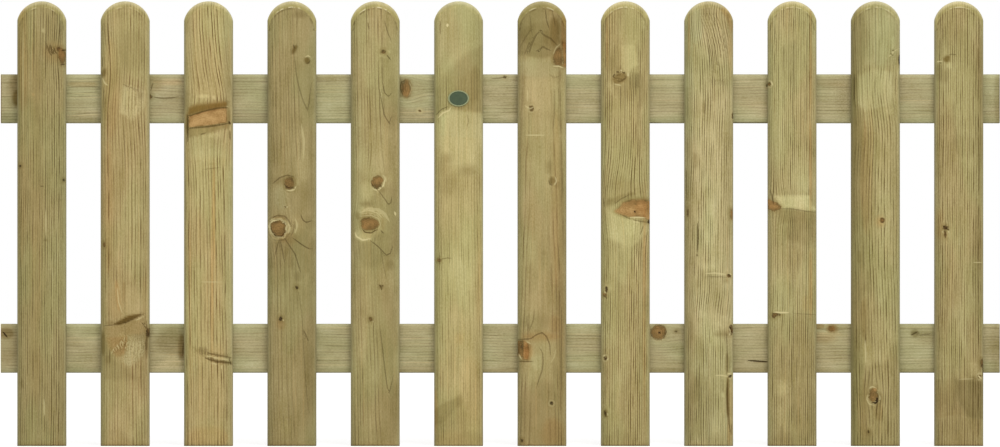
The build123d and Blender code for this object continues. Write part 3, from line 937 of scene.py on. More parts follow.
# %% Picket eight
boards["picket_08"] = Board(
    warmth=0.35, light=0.945, spacing=3.9, contrast=0.95, pith=(160, 14), slope=(8, 0),
    knots=[
        Knot([(-19, 421), (-9, 431), (-4, 438), (11, 443), (31, 443), (46, 440), (46, 407), (26, 411), (6, 412),
              (-9, 417)], 0.2, 0.3, 0, 3),
        Knot((42, 403, 5, 5), 0.9, 0, 0), Knot((-34, 282, 4, 11), 0.85, ring=0.2),
        Knot((-37, 272, 6, 7), 0.5, ring=0, soft=2), Knot((-36, 158, 5, 7), 0.75, ring=0.4),
        Knot((-36, 60, 3, 8), 0.7, ring=0, soft=1.5),
    ],
    patches=[
        Patch([(-9, 722), (16, 722), (21, 705), (23, 685), (11, 678), (6, 670), (-4, 675), (-9, 690)], pale=0.4,
              plain=0.8, soft=3),
        Patch([(-24, 662), (-14, 671), (-1, 671), (4, 664), (1, 656), (-7, 652), (-17, 650), (-23, 656)], dark=0.74,
              red=0.1, plain=0.8, rough=0.6, soft=2.5),
        Patch((8, 745, 34, 100), pale=0.12, plain=0.75),
        Patch([(11, 674), (24, 672), (29, 652), (26, 630), (6, 630), (2, 655)], dark=0.3, plain=0.3, soft=6),
        Patch((-27, 645, 10, 20, 20), pale=0.4, soft=4), Patch((-22, 684, 20, 40), dark=0.3, plain=0.5),
        Patch([(-34, 428), (-20, 420), (10, 404), (44, 399), (44, 387), (26, 374), (14, 357), (2, 356), (-14, 368),
               (-34, 374)], pale=0.4, plain=0.5, soft=5),
        Patch((24, 443, 50, 14), dark=0.3, plain=0.6, soft=5),
        Patch([(-24, 440), (-12, 436), (0, 447), (30, 449), (40, 470), (-20, 480)], dark=0.2, red=0.1, plain=0.3),
        Patch([(-34, 444), (-20, 447), (-8, 453), (12, 457), (12, 448), (-6, 442), (-20, 434), (-34, 432)], dark=0.5,
              soft=4),
    ],
    tones=[
        (-35, 58, 8, 13, 0.6, 3), (34, 260, 4, 420, 0, 2, 0.5), (-33, 725, 4, 90, 0, 2, 0.5), (2, 325, 50, 80, -0.2),
        (-8, 468, 30, 40, 0.18), (30, 430, 24, 22, 0, 6, 0.25), (10, 645, 64, 40, 0.22), (28, 640, 20, 60, 0.3),
        (-20, 700, 14, 110, 0.2), (-6, 765, 40, 40, 0.12), (-4, 468, 50, 26, 0.26), (8, 393, 26, 40, -0.7),
        (-36, 280, 14, 40, -0.2), (-36, 75, 14, 30, -0.25), (-6, 12, 60, 24, 0.22), (-36, 195, 14, 40, -0.18),
        (-30, 63, 8, 14, -0.45, 3), (-29, 285, 6, 12, -0.7, 3), (-13, 678, 12, 12, 0.4, 4), (29, 761, 12, 24, -0.4, 5),
        (11, 453, 16, 8, 0.6, 3),
    ],
    lines=[
        ([(-23, 663), (-19, 669)], 2.2, 0.7), ([(-17, 672), (-11, 673)], 2.2, 0.75), ([(-6, 672), (0, 670)], 2.2, 0.75),
        ([(4, 671), (5, 664)], 3, -0.6), ([(-20, 651), (-8, 648)], 1.6, -0.5),
        ([(8, 411), (24, 411), (36, 410)], 2, -0.8), ([(-8, 416), (8, 408), (24, 404), (42, 402)], 1.5, 0.5),
        ([(12, 405), (26, 401)], 1.8, -0.6), ([(-18, 436), (-8, 444), (4, 450)], 1.5, 0.4),
        ([(32, 396), (27, 380)], 1.6, 0.5), ([(15, 423), (19, 420)], 3.6, 0.9), ([(-40, 446), (-38, 430)], 1.6, 0.5),
        ([(-14, 654), (-6, 657), (2, 663)], 2.8, 0.5), ([(-18, 667), (-8, 668)], 1.6, 0.35),
        ([(-20, 660), (-10, 662)], 1.6, 0.3), ([(-10, 676), (-6, 675)], 2, -0.7),
        *(([(x, 671), (x, 642)], 1.5, 0.4) for x in (8, 13, 19, 24)), ([(-40, 162), (-36, 163)], 1.8, -0.6),
        ([(-33, 154), (-31, 158)], 1.8, -0.6), ([(-38, 278), (-35, 274)], 1.8, -0.6),
        ([(-37, 270), (-33, 264)], 1.6, 0.6), ([(-38, 64), (-35, 52)], 1.8, 0.7), ([(-33, 60), (-31, 54)], 1.8, -0.6),
    ],
    bends=[Bend(-10, 470, 30, 40, 5)],
)

# %% [markdown]
# The ninth has strong straight lines that lean over at the top, and a reddish streak at the foot of its right edge.

# %% Picket nine
boards["picket_09"] = Board(
    warmth=-0.4, light=0.982, spacing=3.9, contrast=0.9, pith=(-140, 18), slope=(10, 0), wander=5, wave=0.7, torn=0.1,
    knots=[
        Knot((44, 594, 5, 11), 0.8), Knot((36, 306, 7, 6), 0.6, ring=0.2, soft=1.5),
        Knot((40, 209, 7, 17), 0.7, ring=0.2, soft=2), Knot((38, 126, 6, 5), 0.75, ring=0.5),
        Knot((41, 417, 5, 18), 0.5, ring=0, soft=3), Knot((-38, 420, 3, 14), 0.7, ring=0, soft=1.5),
    ],
    patches=[
        Patch((-37, 620, 15, 330), dark=0.3, red=-0.2, plain=0.4), Patch((-36, 260, 20, 480), dark=0.28, plain=0.3),
        Patch([(19, 786), (31, 770), (40, 742), (45, 750), (40, 778), (28, 790)], dark=0.4, red=0.45, soft=4),
        Patch((-30, 760, 40, 70), plain=0.2, red=-0.2),
        Patch([(-18, 245), (5, 238), (34, 234), (36, 214), (20, 210), (-4, 220), (-20, 232)], pale=0.3, soft=6),
    ],
    tones=[
        (-9, 609, 6, 24, 0.6, 2.5), (0, 745, 100, 130, 0.1, 14), (39, 700, 8, 80, 0, 5, 0.3),
        (-36, 735, 3, 90, 0.3, 1.5, 0.6), (24, 201, 30, 10, 0.5, 5), (34, 88, 5, 76, 0.9, 1.5, 0.5),
        (40, 62, 8, 120, 0.1, 2, 0.45), (36, 25, 6, 60, 0.3, 3, 0.5), (33, 148, 6, 40, 0.6, 2, 0.2),
        (25, 92, 6, 9, -0.7, 2), (-16, 584, 8, 26, -0.35, 4), (8, 450, 46, 270, -0.2, 14),
        (-20, 75, 60, 120, 0.36, 12, 0.05), (-22, 180, 40, 60, 0.15, 12, 0.1), (-38, 540, 12, 80, 0.3),
        (-8, 95, 76, 110, 0.12), (-32, 755, 30, 70, 0.2), (38, 740, 16, 70, 0.25), (-36, 545, 16, 60, 0.42),
        (-6, 550, 14, 110, -0.22), (-24, 285, 14, 30, 0.25), (0, 205, 40, 60, -0.3), (22, 375, 14, 60, -0.3),
        (-34, 110, 20, 60, 0.45), (36, 75, 18, 50, 0.25), (6, 12, 50, 24, 0.22), (-34, 50, 22, 90, 0.42),
        (6, 400, 34, 100, -0.26), (0, 400, 100, 900, 0, 8, 0.06), (0, 323, 28, 16, -0.45, 6), (31, 297, 10, 8, 0.4, 3),
        (-27, 100, 30, 60, 0.58, 10), (-25, 513, 12, 30, 0.4, 6), (12, 221, 22, 14, -0.5, 5),
    ],
    lines=[
        ([(-6, 310), (10, 311), (31, 309)], 2.4, -0.6), ([(-4, 304), (20, 304), (33, 303)], 1.4, 0.35),
        ([(36, 311), (41, 308)], 2, -0.7), ([(-20, 401), (-20, 372), (-21, 346)], 1.5, 0.85, 0.4),
        ([(-22, 346), (-20, 340)], 2.4, 0.6), ([(-26, 330), (-26, 305)], 1.4, 0.4),
        ([(12, 127), (24, 127), (34, 125)], 2, -0.6), ([(-41, 500), (-40, 440)], 1.6, 0.5),
        ([(32, 200), (33, 170), (33, 130)], 1.4, 0.5), ([(36, 214), (40, 202)], 2, -0.5),
        ([(40, 20), (41, 40)], 2, 0.5), ([(33, 310), (40, 303)], 2, 0.7), ([(36, 203), (38, 198)], 1.8, -0.6),
        ([(37, 216), (42, 202)], 2.4, 0.8), ([(33, 130), (40, 129)], 2, -0.7),
        *(([(x - 20, 778), (x - 8, 748), (x - 1, 716), (x, 650)], 1.3, 0.38) for x in range(2, 34, 5)),
        *(([(x - 17, 775), (x - 5, 745), (x + 2, 713), (x + 3, 660)], 1.2, -0.3) for x in range(2, 32, 5)),
        ([(34, 122), (33, 95), (34, 66), (37, 30)], 3, 0.6),
    ],
    bends=[
        Bend(10, 775, 40, 60, 16), Bend(10, 230, 40, 40, 4),
    ],
)

# %% [markdown]
# The tenth has fine straight lines. A knot at its left edge has a nearly white wedge beside it.

# %% Picket ten
boards["picket_10"] = Board(
    warmth=-0.15, light=0.954, spacing=3.7, contrast=0.95, pith=(200, 12), slope=(5, 0), wander=2, wave=0.4,
    knots=[
        Knot((-41, 651, 5, 7), 0.65, ring=0.4, soft=1.5),
        Knot([(-44, 444), (-35, 440), (-26, 437), (-19, 430), (-22, 425), (-34, 422), (-44, 427)], 0.34, ring=0.1,
             soft=1.6),
        Knot([(-36, 239), (-26, 239), (-18, 237), (-28, 234), (-33, 229), (-36, 232)], 0.66, 0.2, 0, 1.2),
    ],
    patches=[
        Patch([(-33, 450), (31, 451), (34, 436), (44, 424), (20, 423), (-4, 428), (-16, 427), (-26, 438)], pale=0.8,
              soft=2.5),
        Patch([(-30, 424), (-4, 427), (44, 421), (44, 395), (-20, 400)], dark=0.35, red=0.1, soft=6),
        Patch([(-46, 238), (46, 236), (46, 120), (-46, 120)], dark=0.14, soft=4),
        Patch((-20, 103, 20, 26, -30), pale=0.4), Patch((-32, 560, 20, 120), plain=0.4),
        Patch((-24, 400, 30, 60), plain=0.4),
    ],
    tones=[
        (33, 500, 5, 180, 0.2, 1.5, 0.5), (33, 290, 7, 130, 0, 2, 0.55), (33, 700, 4, 200, 0.2, 2, 0.6),
        (-37, 744, 5, 40, 0, 3, 0.2), (-26, 300, 30, 120, -0.2), (-22, 55, 14, 40, -0.3), (26, 256, 18, 30, 0, 8, 0.3),
        (-20, 640, 16, 260, -0.14), (18, 495, 50, 80, -0.22), (24, 378, 46, 34, 0.28), (22, 60, 44, 120, 0.18),
        (-6, 690, 30, 70, 0.14), (14, 385, 60, 40, 0.32), (6, 340, 24, 40, 0.18), (-34, 180, 20, 130, -0.24),
        (-2, 12, 64, 24, 0.28), (-6, 226, 20, 16, 0.2), (0, 400, 100, 900, 0, 8, 0.06),
    ],
    lines=[
        ([(-40, 462), (-37, 450), (-33, 434)], 2, 0.55), ([(-16, 427), (2, 426), (24, 422), (42, 420)], 1.5, 0.4),
        ([(-33, 241), (-20, 240), (-6, 240)], 2.6, -0.85), ([(4, 238), (44, 236)], 1.2, 0.3),
        ([(-38, 656), (-35, 648)], 2, -0.6),
    ],
)

# %% [markdown]
# The eleventh is dark along its left edge, pale at the upper rail, and has a knot near the foot.

# %% Picket eleven
boards["picket_11"] = Board(
    warmth=0.1, light=0.92, spacing=5.4, contrast=0.75, pith=(-110, 22), slope=(-14, 0), wander=6, wave=0.6, torn=0.3,
    knots=[
        Knot((43, 694, 4, 17), 0.9, ring=0), Knot((12, 406, 7, 9), 0.75, ring=0.3, soft=1.5),
        Knot((-13, 26, 3, 5), 0.7, ring=0),
        Knot([(-12, 92), (-10, 100), (-4, 104), (2, 98), (4, 90), (0, 84), (-6, 80), (-12, 85)], 0.5, 0.7, 0.35, 2.5),
        Knot((-2, 101, 6, 8), 0.25, 0, 0, 2), Knot((-8, 94, 7, 9), 0.55, 0, 0, 2),
    ],
    patches=[
        Patch([(-46, 770), (-33, 770), (-32, 672), (-34, 610), (-24, 590), (-18, 480), (-18, 300), (-28, 240),
               (-46, 240)], dark=0.42, red=-0.1, plain=0.3, soft=5),
        Patch((6, 740, 96, 120), plain=0.45, red=-0.5, soft=12),
        Patch([(-33, 664), (-5, 678), (30, 672), (32, 640), (28, 612), (0, 606), (-20, 603), (-32, 616)], pale=0.36,
              red=-0.2, soft=4),
        Patch((-14, 165, 34, 40), pale=0.25, plain=0.5),
    ],
    tones=[
        (-40, 640, 8, 64, 0.6, 1.5), (-32, 80, 26, 240, 0.35), (5, 62, 16, 30, 0.3, 5, 0.15), (-16, 92, 8, 26, 0.25, 4),
        (-38, 400, 16, 900, 0.5, 6), (14, 420, 32, 380, -0.22), (24, 740, 40, 90, -0.2), (-12, 116, 14, 40, 0.25),
        (-32, 730, 32, 130, 0.42, 8, -0.3), (38, 720, 16, 120, -0.26), (-34, 590, 22, 40, 0.5),
        (-22, 230, 16, 70, 0.5, 8, 0.15), (14, 195, 40, 90, -0.28), (-22, 60, 16, 130, 0.45, 8, 0.15),
        (-18, 480, 20, 200, 0.2, 8, 0.2), (36, 620, 18, 80, -0.26), (34, 520, 20, 180, -0.16),
        (8, 403, 14, 16, 0, 8, 0.5), (-15, 15, 16, 30, 0.5, 6), (7, 85, 10, 24, 0.5, 4), (31, 723, 10, 30, -0.7, 5),
        (-15, 297, 12, 40, 0.35, 6), (26, 602, 16, 14, -0.45, 4), (-1, 161, 12, 24, -0.5, 5),
        (-31, 341, 14, 30, 0.65, 6),
    ],
    lines=[
        ([(24, 700), (31, 708), (38, 713)], 2.2, -0.5), ([(29, 712), (36, 710)], 2, 0.6),
        ([(26, 706), (32, 701)], 1.6, 0.5), ([(2, 88), (3, 82), (8, 81)], 2.6, 1.0, 0.5),
        ([(-6, 78), (0, 77), (4, 82)], 2.4, 1.0), ([(-12, 104), (-6, 107), (1, 104)], 1.8, -0.5),
        ([(-15, 92), (-16, 84), (-12, 76), (-4, 73)], 1.8, -0.5), ([(7, 92), (8, 86), (6, 78)], 1.6, -0.5),
        ([(-19, 190), (-18, 150)], 2, -0.5), ([(7, 175), (7, 146)], 1.8, -0.4), ([(-38, 668), (-39, 620)], 2, 0.6),
    ],
    bends=[
        Bend(20, 640, 30, 50, 7), Bend(-10, 560, 40, 60, -4),
    ],
)

# %% [markdown]
# The twelfth has small dark knots, and its right edge is bruised near the foot.

# %% Picket twelve
boards["picket_12"] = Board(
    warmth=0.5, light=0.9, spacing=3.9, contrast=0.82, pith=(-200, 14), slope=(3, 0),
    knots=[
        Knot((-25, 393, 9, 7), 0.62, ring=0, soft=1.5), Knot((-25, 380, 4, 11), 0.6, ring=0, soft=1.5),
        Knot((41, 149, 5, 14), 0.72, ring=0, soft=1.5), Knot((37, 125, 6, 6), 0.6, ring=0.6),
    ],
    patches=[
        Patch([(-29, 697), (-22, 703), (-16, 702), (-17, 692), (-22, 689), (-28, 692)], dark=0.9, red=0.1, plain=0.7,
              soft=2),
        Patch([(-20, 690), (-14, 689), (-12, 680), (-18, 678), (-22, 684)], pale=0.5, soft=2),
        Patch([(20, 150), (36, 148), (38, 122), (22, 126)], pale=0.3, plain=0.4, soft=4),
        Patch([(-46, 120), (26, 121), (46, 118), (46, 60), (-46, 50)], dark=0.26, red=0.05, soft=4),
        Patch([(-8, 120), (26, 119), (46, 116), (46, 46), (14, 52), (-4, 84)], dark=0.5, red=-0.2, soft=5),
    ],
    tones=[
        (34, 700, 6, 36, 0.5, 3), (34, 330, 18, 200, 0.3), (0, 30, 100, 90, 0.12), (30, 60, 24, 90, 0.25, 8, 0.1),
        (6, 380, 40, 400, -0.15), (38, 600, 14, 300, 0.3), (-20, 380, 8, 10, -0.4, 3), (-37, 672, 12, 30, 0.35, 5),
        (4, 640, 44, 110, -0.16), (4, 738, 30, 30, 0.2), (14, 540, 50, 40, 0.2), (38, 530, 14, 100, 0.36),
        (-36, 300, 12, 200, 0.14), (-36, 400, 14, 50, 0, 8, 0.3), (-20, 735, 14, 40, 0.16), (31, 122, 14, 10, 0.4, 4),
        (-27, 665, 14, 24, 0.4, 6),
    ],
    lines=[
        ([(-18, 704), (-6, 704)], 2, 0.45), ([(-34, 695), (-33, 687)], 2, 0.5), ([(-40, 691), (-30, 692)], 2, -0.6),
        ([(44, 146), (44, 118)], 3, 0.8), ([(26, 330), (42, 330)], 1.2, -0.5), ([(34, 127), (40, 121)], 2.2, -0.9),
        ([(-22, 388), (-18, 390)], 2, 0.8), ([(0, 120), (26, 121)], 1.6, -0.3),
        ([(-29, 396), (-24, 392), (-20, 395)], 2, 0.75), ([(-26, 388), (-25, 378)], 2, 0.7),
        ([(-20, 387), (-18, 383)], 1.8, -0.6), ([(-30, 388), (-29, 383)], 1.8, -0.5),
    ],
)
print("boards described:", len(boards), "with", sum(len(b.patches) for b in boards.values()), "patches")

# %% [markdown]
# ## The two rails
# The rails are paler and greyer, with fine lines along their length. The upper one has a brown knot between the fourth
# and fifth pickets.

# %% Upper rail
boards["upper_rail"] = Board(
    warmth=-0.85, light=0.943, spacing=5.2, contrast=0.3, pith=(-150, 30), slope=(3, 0), wander=8, wave=0.55, worn=0,
    knots=[
        Knot((4, -634, 8, 14), 0.65, 0.6, 0, 2), Knot((18, -169, 33, 17), 0.42, 0.6, 0, 3.5),
        Knot((39, 8, 4, 5), 0.7, ring=0.2, soft=1.5), Knot((-22, -145, 3, 5), 0.5, ring=0.6),
        Knot((24, 482, 8, 5), 0.7, ring=0),
    ],
    patches=[
        Patch((0, 620, 70, 30), dark=0.25, rough=0.6, soft=10), Patch((-10, 876, 60, 30), dark=0.15, rough=0.4),
    ],
    tones=[
        (2, -870, 34, 22, 1.0, 6, 0.1), (24, -872, 40, 26, 0.6, 8, 0.1), (20, -180, 34, 10, 0.5, 4, 0.1),
        (26, -752, 9, 56, 0.1, 4, 0.35), (30, -600, 10, 56, 0, 4, 0.35), (10, -872, 60, 34, 0.4, 10),
        (-34, -880, 20, 60, 0.4, 8, -0.2), (-6, -720, 40, 60, -0.15), (-6, -600, 30, 70, 0.2, 10),
        (26, -628, 30, 40, 0.25, 8, 0.2), (26, 590, 14, 60, 0.25, 8, 0.1), (-30, -450, 24, 80, 0.22, 12, -0.2),
        (30, -470, 20, 70, 0.15), (4, 60, 50, 40, -0.15), (-20, 455, 40, 60, -0.12, 8, 0.1), (0, 896, 90, 14, 0.5, 5),
        # The long pale strip at 42 across is a painted highlight along the rail's upper edge.
        (42, 200, 5, 1800, -0.3, 3), (10, -150, 40, 30, 0.12, 8, 0.1),
    ],
    lines=[
        ([(3, -626), (0, -606), (3, -580)], 2.2, 0.5), ([(28, -626), (14, -630)], 1.6, 0.5),
        ([(21, -775), (22, -740), (20, -720)], 1.4, 0.4), ([(10, -770), (8, -725)], 1.2, -0.4),
        ([(-30, -760), (-28, -720)], 1.2, -0.4), ([(38, 30), (38, 60)], 1.4, 0.4), ([(-5, -560), (-6, -520)], 1.2, 0.3),
        ([(36, -16), (37, 0), (40, 12)], 1.6, 0.5), ([(33, -172), (30, -178), (20, -181), (6, -176)], 1.8, 0.5),
        ([(30, -164), (18, -159), (6, -164)], 1.4, -0.3), ([(26, -170), (18, -172), (10, -169)], 1.6, 0.35),
        # The dark lines at -43.4 across are painted shade along the rail's lower edge.
        ([(-43.4, -130), (-43.4, -40)], 1.6, 0.4), ([(-43.4, 240), (-43.4, 290)], 1.6, 0.4),
        ([(-43.4, 380), (-43.4, 510)], 1.8, 0.5), ([(-44, -899), (44, -899)], 2, 0.4),
        ([(-44, 899), (44, 899)], 2, 0.5),
    ],
)

# %% [markdown]
# The lower rail has its biggest knot between the eighth and ninth pickets, and a split under the ninth and tenth.

# %% Lower rail
boards["lower_rail"] = Board(
    warmth=-0.8, light=0.958, spacing=5.2, contrast=0.3, pith=(160, 30), slope=(-5, 0), wander=8, wave=0.6, worn=0,
    knots=[
        Knot((29, 285, 27, 28), 0.42, 0.6, 0.2, 3), Knot((31, 317, 3, 5), 0.75, ring=0),
        Knot((36, 597, 10, 12), 0.35, ring=0, soft=2.5),
    ],
    patches=[Patch([(-44, -640), (-30, -618), (-8, -592), (-18, -574), (-44, -572)], pale=0.4, red=0.15, soft=6)],
    tones=[
        (27, -890, 22, 30, 0.8, 5, 0.15), (4, -574, 46, 16, 0.85, 6, 0.15), (40, 571, 10, 28, 0.5, 2, 0.5),
        (36, 598, 18, 22, 0.25, 3, 0.4), (26, 590, 9, 50, -0.25, 4, 0.3), (27, 747, 14, 16, 0.7, 3),
        (10, -886, 80, 40, 0.3, 10, 0.1), (16, -590, 50, 60, 0.4, 10), (30, -640, 24, 30, 0.3, 8, 0.1),
        (-30, 440, 20, 90, 0.15), (16, -300, 40, 60, 0.15), (16, 284, 8, 22, -0.4, 3), (20, 580, 20, 50, 0.12, 8, 0.3),
        (25, 765, 10, 30, 0.2, 5), (-30, -440, 16, 60, -0.2), (0, 893, 90, 20, 0.3), (-40, 300, 7, 1100, 0.1, 4, 0.2),
        # The long pale strip at 42 across is a painted highlight along the rail's upper edge.
        (42, -300, 5, 1000, -0.25, 3),
    ],
    lines=[
        ([(-22, 446), (-23, 464), (-24, 483)], 1.8, 0.95, 0.5), ([(20, -745), (21, -710)], 1.2, -0.5),
        ([(20, -888), (30, -896)], 2.2, 0.9), ([(26, 288), (30, 285)], 4, 0.9), ([(24, 740), (30, 752)], 2.2, 0.7),
        ([(10, -570), (-14, -572)], 3, 0.4), ([(24, 756), (26, 775)], 1.6, 0.5),
        ([(42, 282), (40, 295), (30, 299), (18, 294)], 1.8, 0.4), ([(36, 279), (34, 292), (26, 293)], 1.4, 0.3),
        ([(19, 277), (24, 271), (34, 271)], 1.6, 0.35), ([(-44, 899), (44, 899)], 2, 0.4),
    ],
)
print("boards described:", len(boards), "with", sum(len(b.patches) for b in boards.values()), "patches")

# %% [markdown]
# ## From marks to the mesh
# The marks become six sets of numbers on the mesh's vertices, which the wood's nodes read. All of them start from
# the distance between a vertex and a mark, so that comes first: to an oval, to a shape with corners, and to a line.

# %% Distances to shapes
FAR = 1e3
OFF_MIDDLE = 2e-5  # keeps a vertex off an oval's very middle
NO_LINE = -6.0  # the half width of a line where there is none
LINE_REACH = 4.0  # to each side of a line
TAPER = 3  # how late a line thins out


def turned(dx, dy, degrees=0):
    """Offsets in the axes of a tilted shape."""
    turn = math.radians(degrees)
    return dx * math.cos(turn) + dy * math.sin(turn), dy * math.cos(turn) - dx * math.sin(turn)


def oval_gap(oval, across, along):
    """Distance to an oval's outline, less than 0 inside."""
    x, y, wide, tall, *tilt = oval
    dx, dy = turned(across - x + OFF_MIDDLE, along - y, *tilt)
    near = np.hypot(2 * dx / wide, 2 * dy / tall)
    return near * (near - 1) / np.hypot(4 * dx / wide**2, 4 * dy / tall**2)


def corner_gap(corners, across, along):
    """Distance to the outline through some corners, less than 0 inside."""
    gap, inside = np.full(across.shape, FAR), np.zeros(across.shape, bool)
    for (ax, ay), (bx, by) in zip(corners, corners[1:] + corners[:1]):
        share = ((across - ax) * (bx - ax) + (along - ay) * (by - ay)) / ((bx - ax) ** 2 + (by - ay) ** 2)
        share = np.clip(share, 0, 1)
        gap = np.minimum(gap, np.hypot(across - ax - share * (bx - ax), along - ay - share * (by - ay)))
        crosses = (ay > along) != (by > along)
        inside ^= crosses & (across < ax + (bx - ax) * (along - ay) / ((by - ay) or 1))
    return np.where(inside, -gap, gap)


def shape_gap(shape, across, along):
    """Distance to a shape's outline, less than 0 inside."""
    return (corner_gap if isinstance(shape, list) else oval_gap)(shape, across, along)


def extent(shape):
    """The middle of a shape, and half its width and height."""
    if isinstance(shape, tuple):
        return shape[0], shape[1], shape[2] / 2, shape[3] / 2
    low, high = np.min(shape, axis=0), np.max(shape, axis=0)
    return (*(low + high) / 2, *(high - low) / 2)


def line_gap(line, across, along):
    """Signed distance to a line, and half its width there, which tapers to both ends."""
    points = np.array(line.points, float)
    nearest, signed, reach = (np.full(across.shape, value) for value in (FAR, FAR, 0.0))
    lengths = np.hypot(*np.diff(points, axis=0).T)
    run = np.concatenate([[0], np.cumsum(lengths)]) / lengths.sum()
    for (ax, ay), (bx, by), length, start, end in zip(points[:-1], points[1:], lengths, run[:-1], run[1:]):
        tx, ty = (bx - ax) / length, (by - ay) / length
        step = (across - ax) * tx + (along - ay) * ty
        side = (across - ax) * -ty + (along - ay) * tx
        gap = np.hypot(step - np.clip(step, 0, length), side)
        closer = gap < nearest
        nearest = np.where(closer, gap, nearest)
        signed = np.where(closer, np.where(side < 0, -gap, gap), signed)
        reach = np.where(closer, start + (end - start) * step / length, reach)
    half = line.width / 2 * (1 - np.clip(np.abs(2 * reach - 1), 0, 2) ** TAPER)
    return signed, np.where(nearest < LINE_REACH, half, NO_LINE)


# %% [markdown]
# The first set of numbers is the place in the grain: near a knot it is pushed aside, so that the growth rings flow
# round the knot. The second and third are about the nearest knot and the patches. Where patches overlap, the
# strongest one counts.

# %% Numbers from knots and patches
KNOT_REACH = 30.0  # how far from a knot its distance is kept
PUSH_WIDE, PUSH_TALL = 1.7, 2.8  # how far a knot bends the grain, in halves of its size


def knot_numbers(board, across, along, grain):
    """Bends the grain round a board's knots; gives the nearest knot's distance, size and looks."""
    start = (KNOT_REACH, 10.0, 0.0, 0.0, 1.0)
    nearest, size, tone, ring, soft = (np.full(across.shape, value) for value in start)
    for knot in board.knots:
        gap = shape_gap(knot.shape, across, along)
        x, y, half_wide, half_tall = extent(knot.shape)
        away = ((across - x) / (PUSH_WIDE * half_wide)) ** 2 + ((along - y) / (PUSH_TALL * half_tall)) ** 2
        grain[:, 0] -= (across - x) * knot.push * np.exp(-away)
        closer = gap < nearest
        nearest = np.where(closer, gap, nearest)
        size = np.where(closer, min(half_wide, half_tall), size)
        tone = np.where(closer, knot.tone, tone)
        ring = np.where(closer, knot.ring, ring)
        soft = np.where(closer, knot.soft, soft)
    for bend in board.bends:
        away = ((across - bend.across) / bend.wide) ** 2 + ((along - bend.along) / bend.tall) ** 2
        grain[:, 0] += bend.shift * np.exp(-away)
    return np.maximum(nearest, -KNOT_REACH), size, tone, ring, soft


def stain_numbers(board, across, along):
    """How pale, dark, red, plain and rough a board's patches make it."""
    stain = np.zeros((len(across), 5))
    for patch in board.patches:
        cover_share = np.clip(0.5 - shape_gap(patch.shape, across, along) / (2 * patch.soft), 0, 1)
        cover_share = cover_share * cover_share * (3 - 2 * cover_share)
        change = cover_share[:, None] * np.array([patch.pale, patch.dark, patch.red, patch.plain, patch.rough])
        stain = np.where(np.abs(change) > np.abs(stain), change, stain)
    return stain


# %% [markdown]
# The other sets say how far a point is from a line, from the sawn top and from the long edges. Splits and tears are
# also pressed into the face with a Displace modifier. The back of a board keeps only its knots, because a branch
# goes through and a stain doesn't.

# %% Marks on a board
LINE_FAR = 20.0  # how far from a line its distance is kept
HOLLOW_BANK = 1.4  # millimetres from a split to where its side starts to fall
FRONT = 0.5  # millimetres behind the face that still belong to it
BACK_SHARE = 0.6  # the share of a board's thickness where its back begins


def line_numbers(board, across, along):
    """The nearest line's signed distance, half width and tone, and how deep the lines go."""
    signed, half, tone, sunk = (np.full(across.shape, value) for value in (LINE_FAR, NO_LINE, 0.0, 0.0))
    for line in board.lines:
        gap, width = line_gap(line, across, along)
        closer = np.abs(gap) < np.abs(signed)
        signed, half = np.where(closer, gap, signed), np.where(closer, width, half)
        tone = np.where(closer, line.tone, tone)
        sunk = np.maximum(sunk, line.hollow * np.clip(HOLLOW_BANK + width - np.abs(gap), 0, 1) * (width > 0))
    return signed, half, tone, sunk


def sink(piece, sunk):
    """Presses a board's front in by a number of millimetres at each vertex."""
    deepest = float(sunk.max())
    if deepest == 0:
        return
    group = piece.vertex_groups.new(name="torn")
    for index in np.flatnonzero(sunk > 0):
        group.add([int(index)], float(sunk[index] / deepest), "REPLACE")
    activate(piece)
    press = piece.modifiers.new("torn", "DISPLACE")
    press.direction = "Y"
    press.strength = deepest * MM
    press.mid_level = 0.0
    press.vertex_group = group.name
    bpy.ops.object.modifier_apply(modifier=press.name)
    piece.vertex_groups.clear()


def mark_board(piece, board, across, along, depth, rim):
    """Writes a board's grain, knots, stains and lines onto its vertices, and sinks what is torn out."""
    grain = np.stack([across, along, depth], axis=1)
    knot_gap, size, tone, ring, soft = knot_numbers(board, across, along, grain)
    stain = stain_numbers(board, across, along)
    signed, half, line_tone, sunk = line_numbers(board, across, along)
    behind = depth > BACK_SHARE * depth.max()
    stain[behind] = 0
    half[behind] = NO_LINE
    columns = {
        "grain": grain,
        "knot": np.stack([knot_gap, size, tone], axis=1),
        "stain": stain[:, :3],
        "blend": np.stack([stain[:, 3], stain[:, 4], soft], axis=1),
        "line": np.stack([signed, half, line_tone], axis=1),
        "edge": np.stack([rim, ring, (across.max() - np.abs(across)) * np.sign(across)], axis=1),
    }
    for name, numbers in columns.items():
        attribute = piece.data.attributes.new(name, "FLOAT_VECTOR", "POINT")
        attribute.data.foreach_set("vector", numbers.astype(np.float32).ravel())
    sink(piece, sunk * (depth < FRONT))
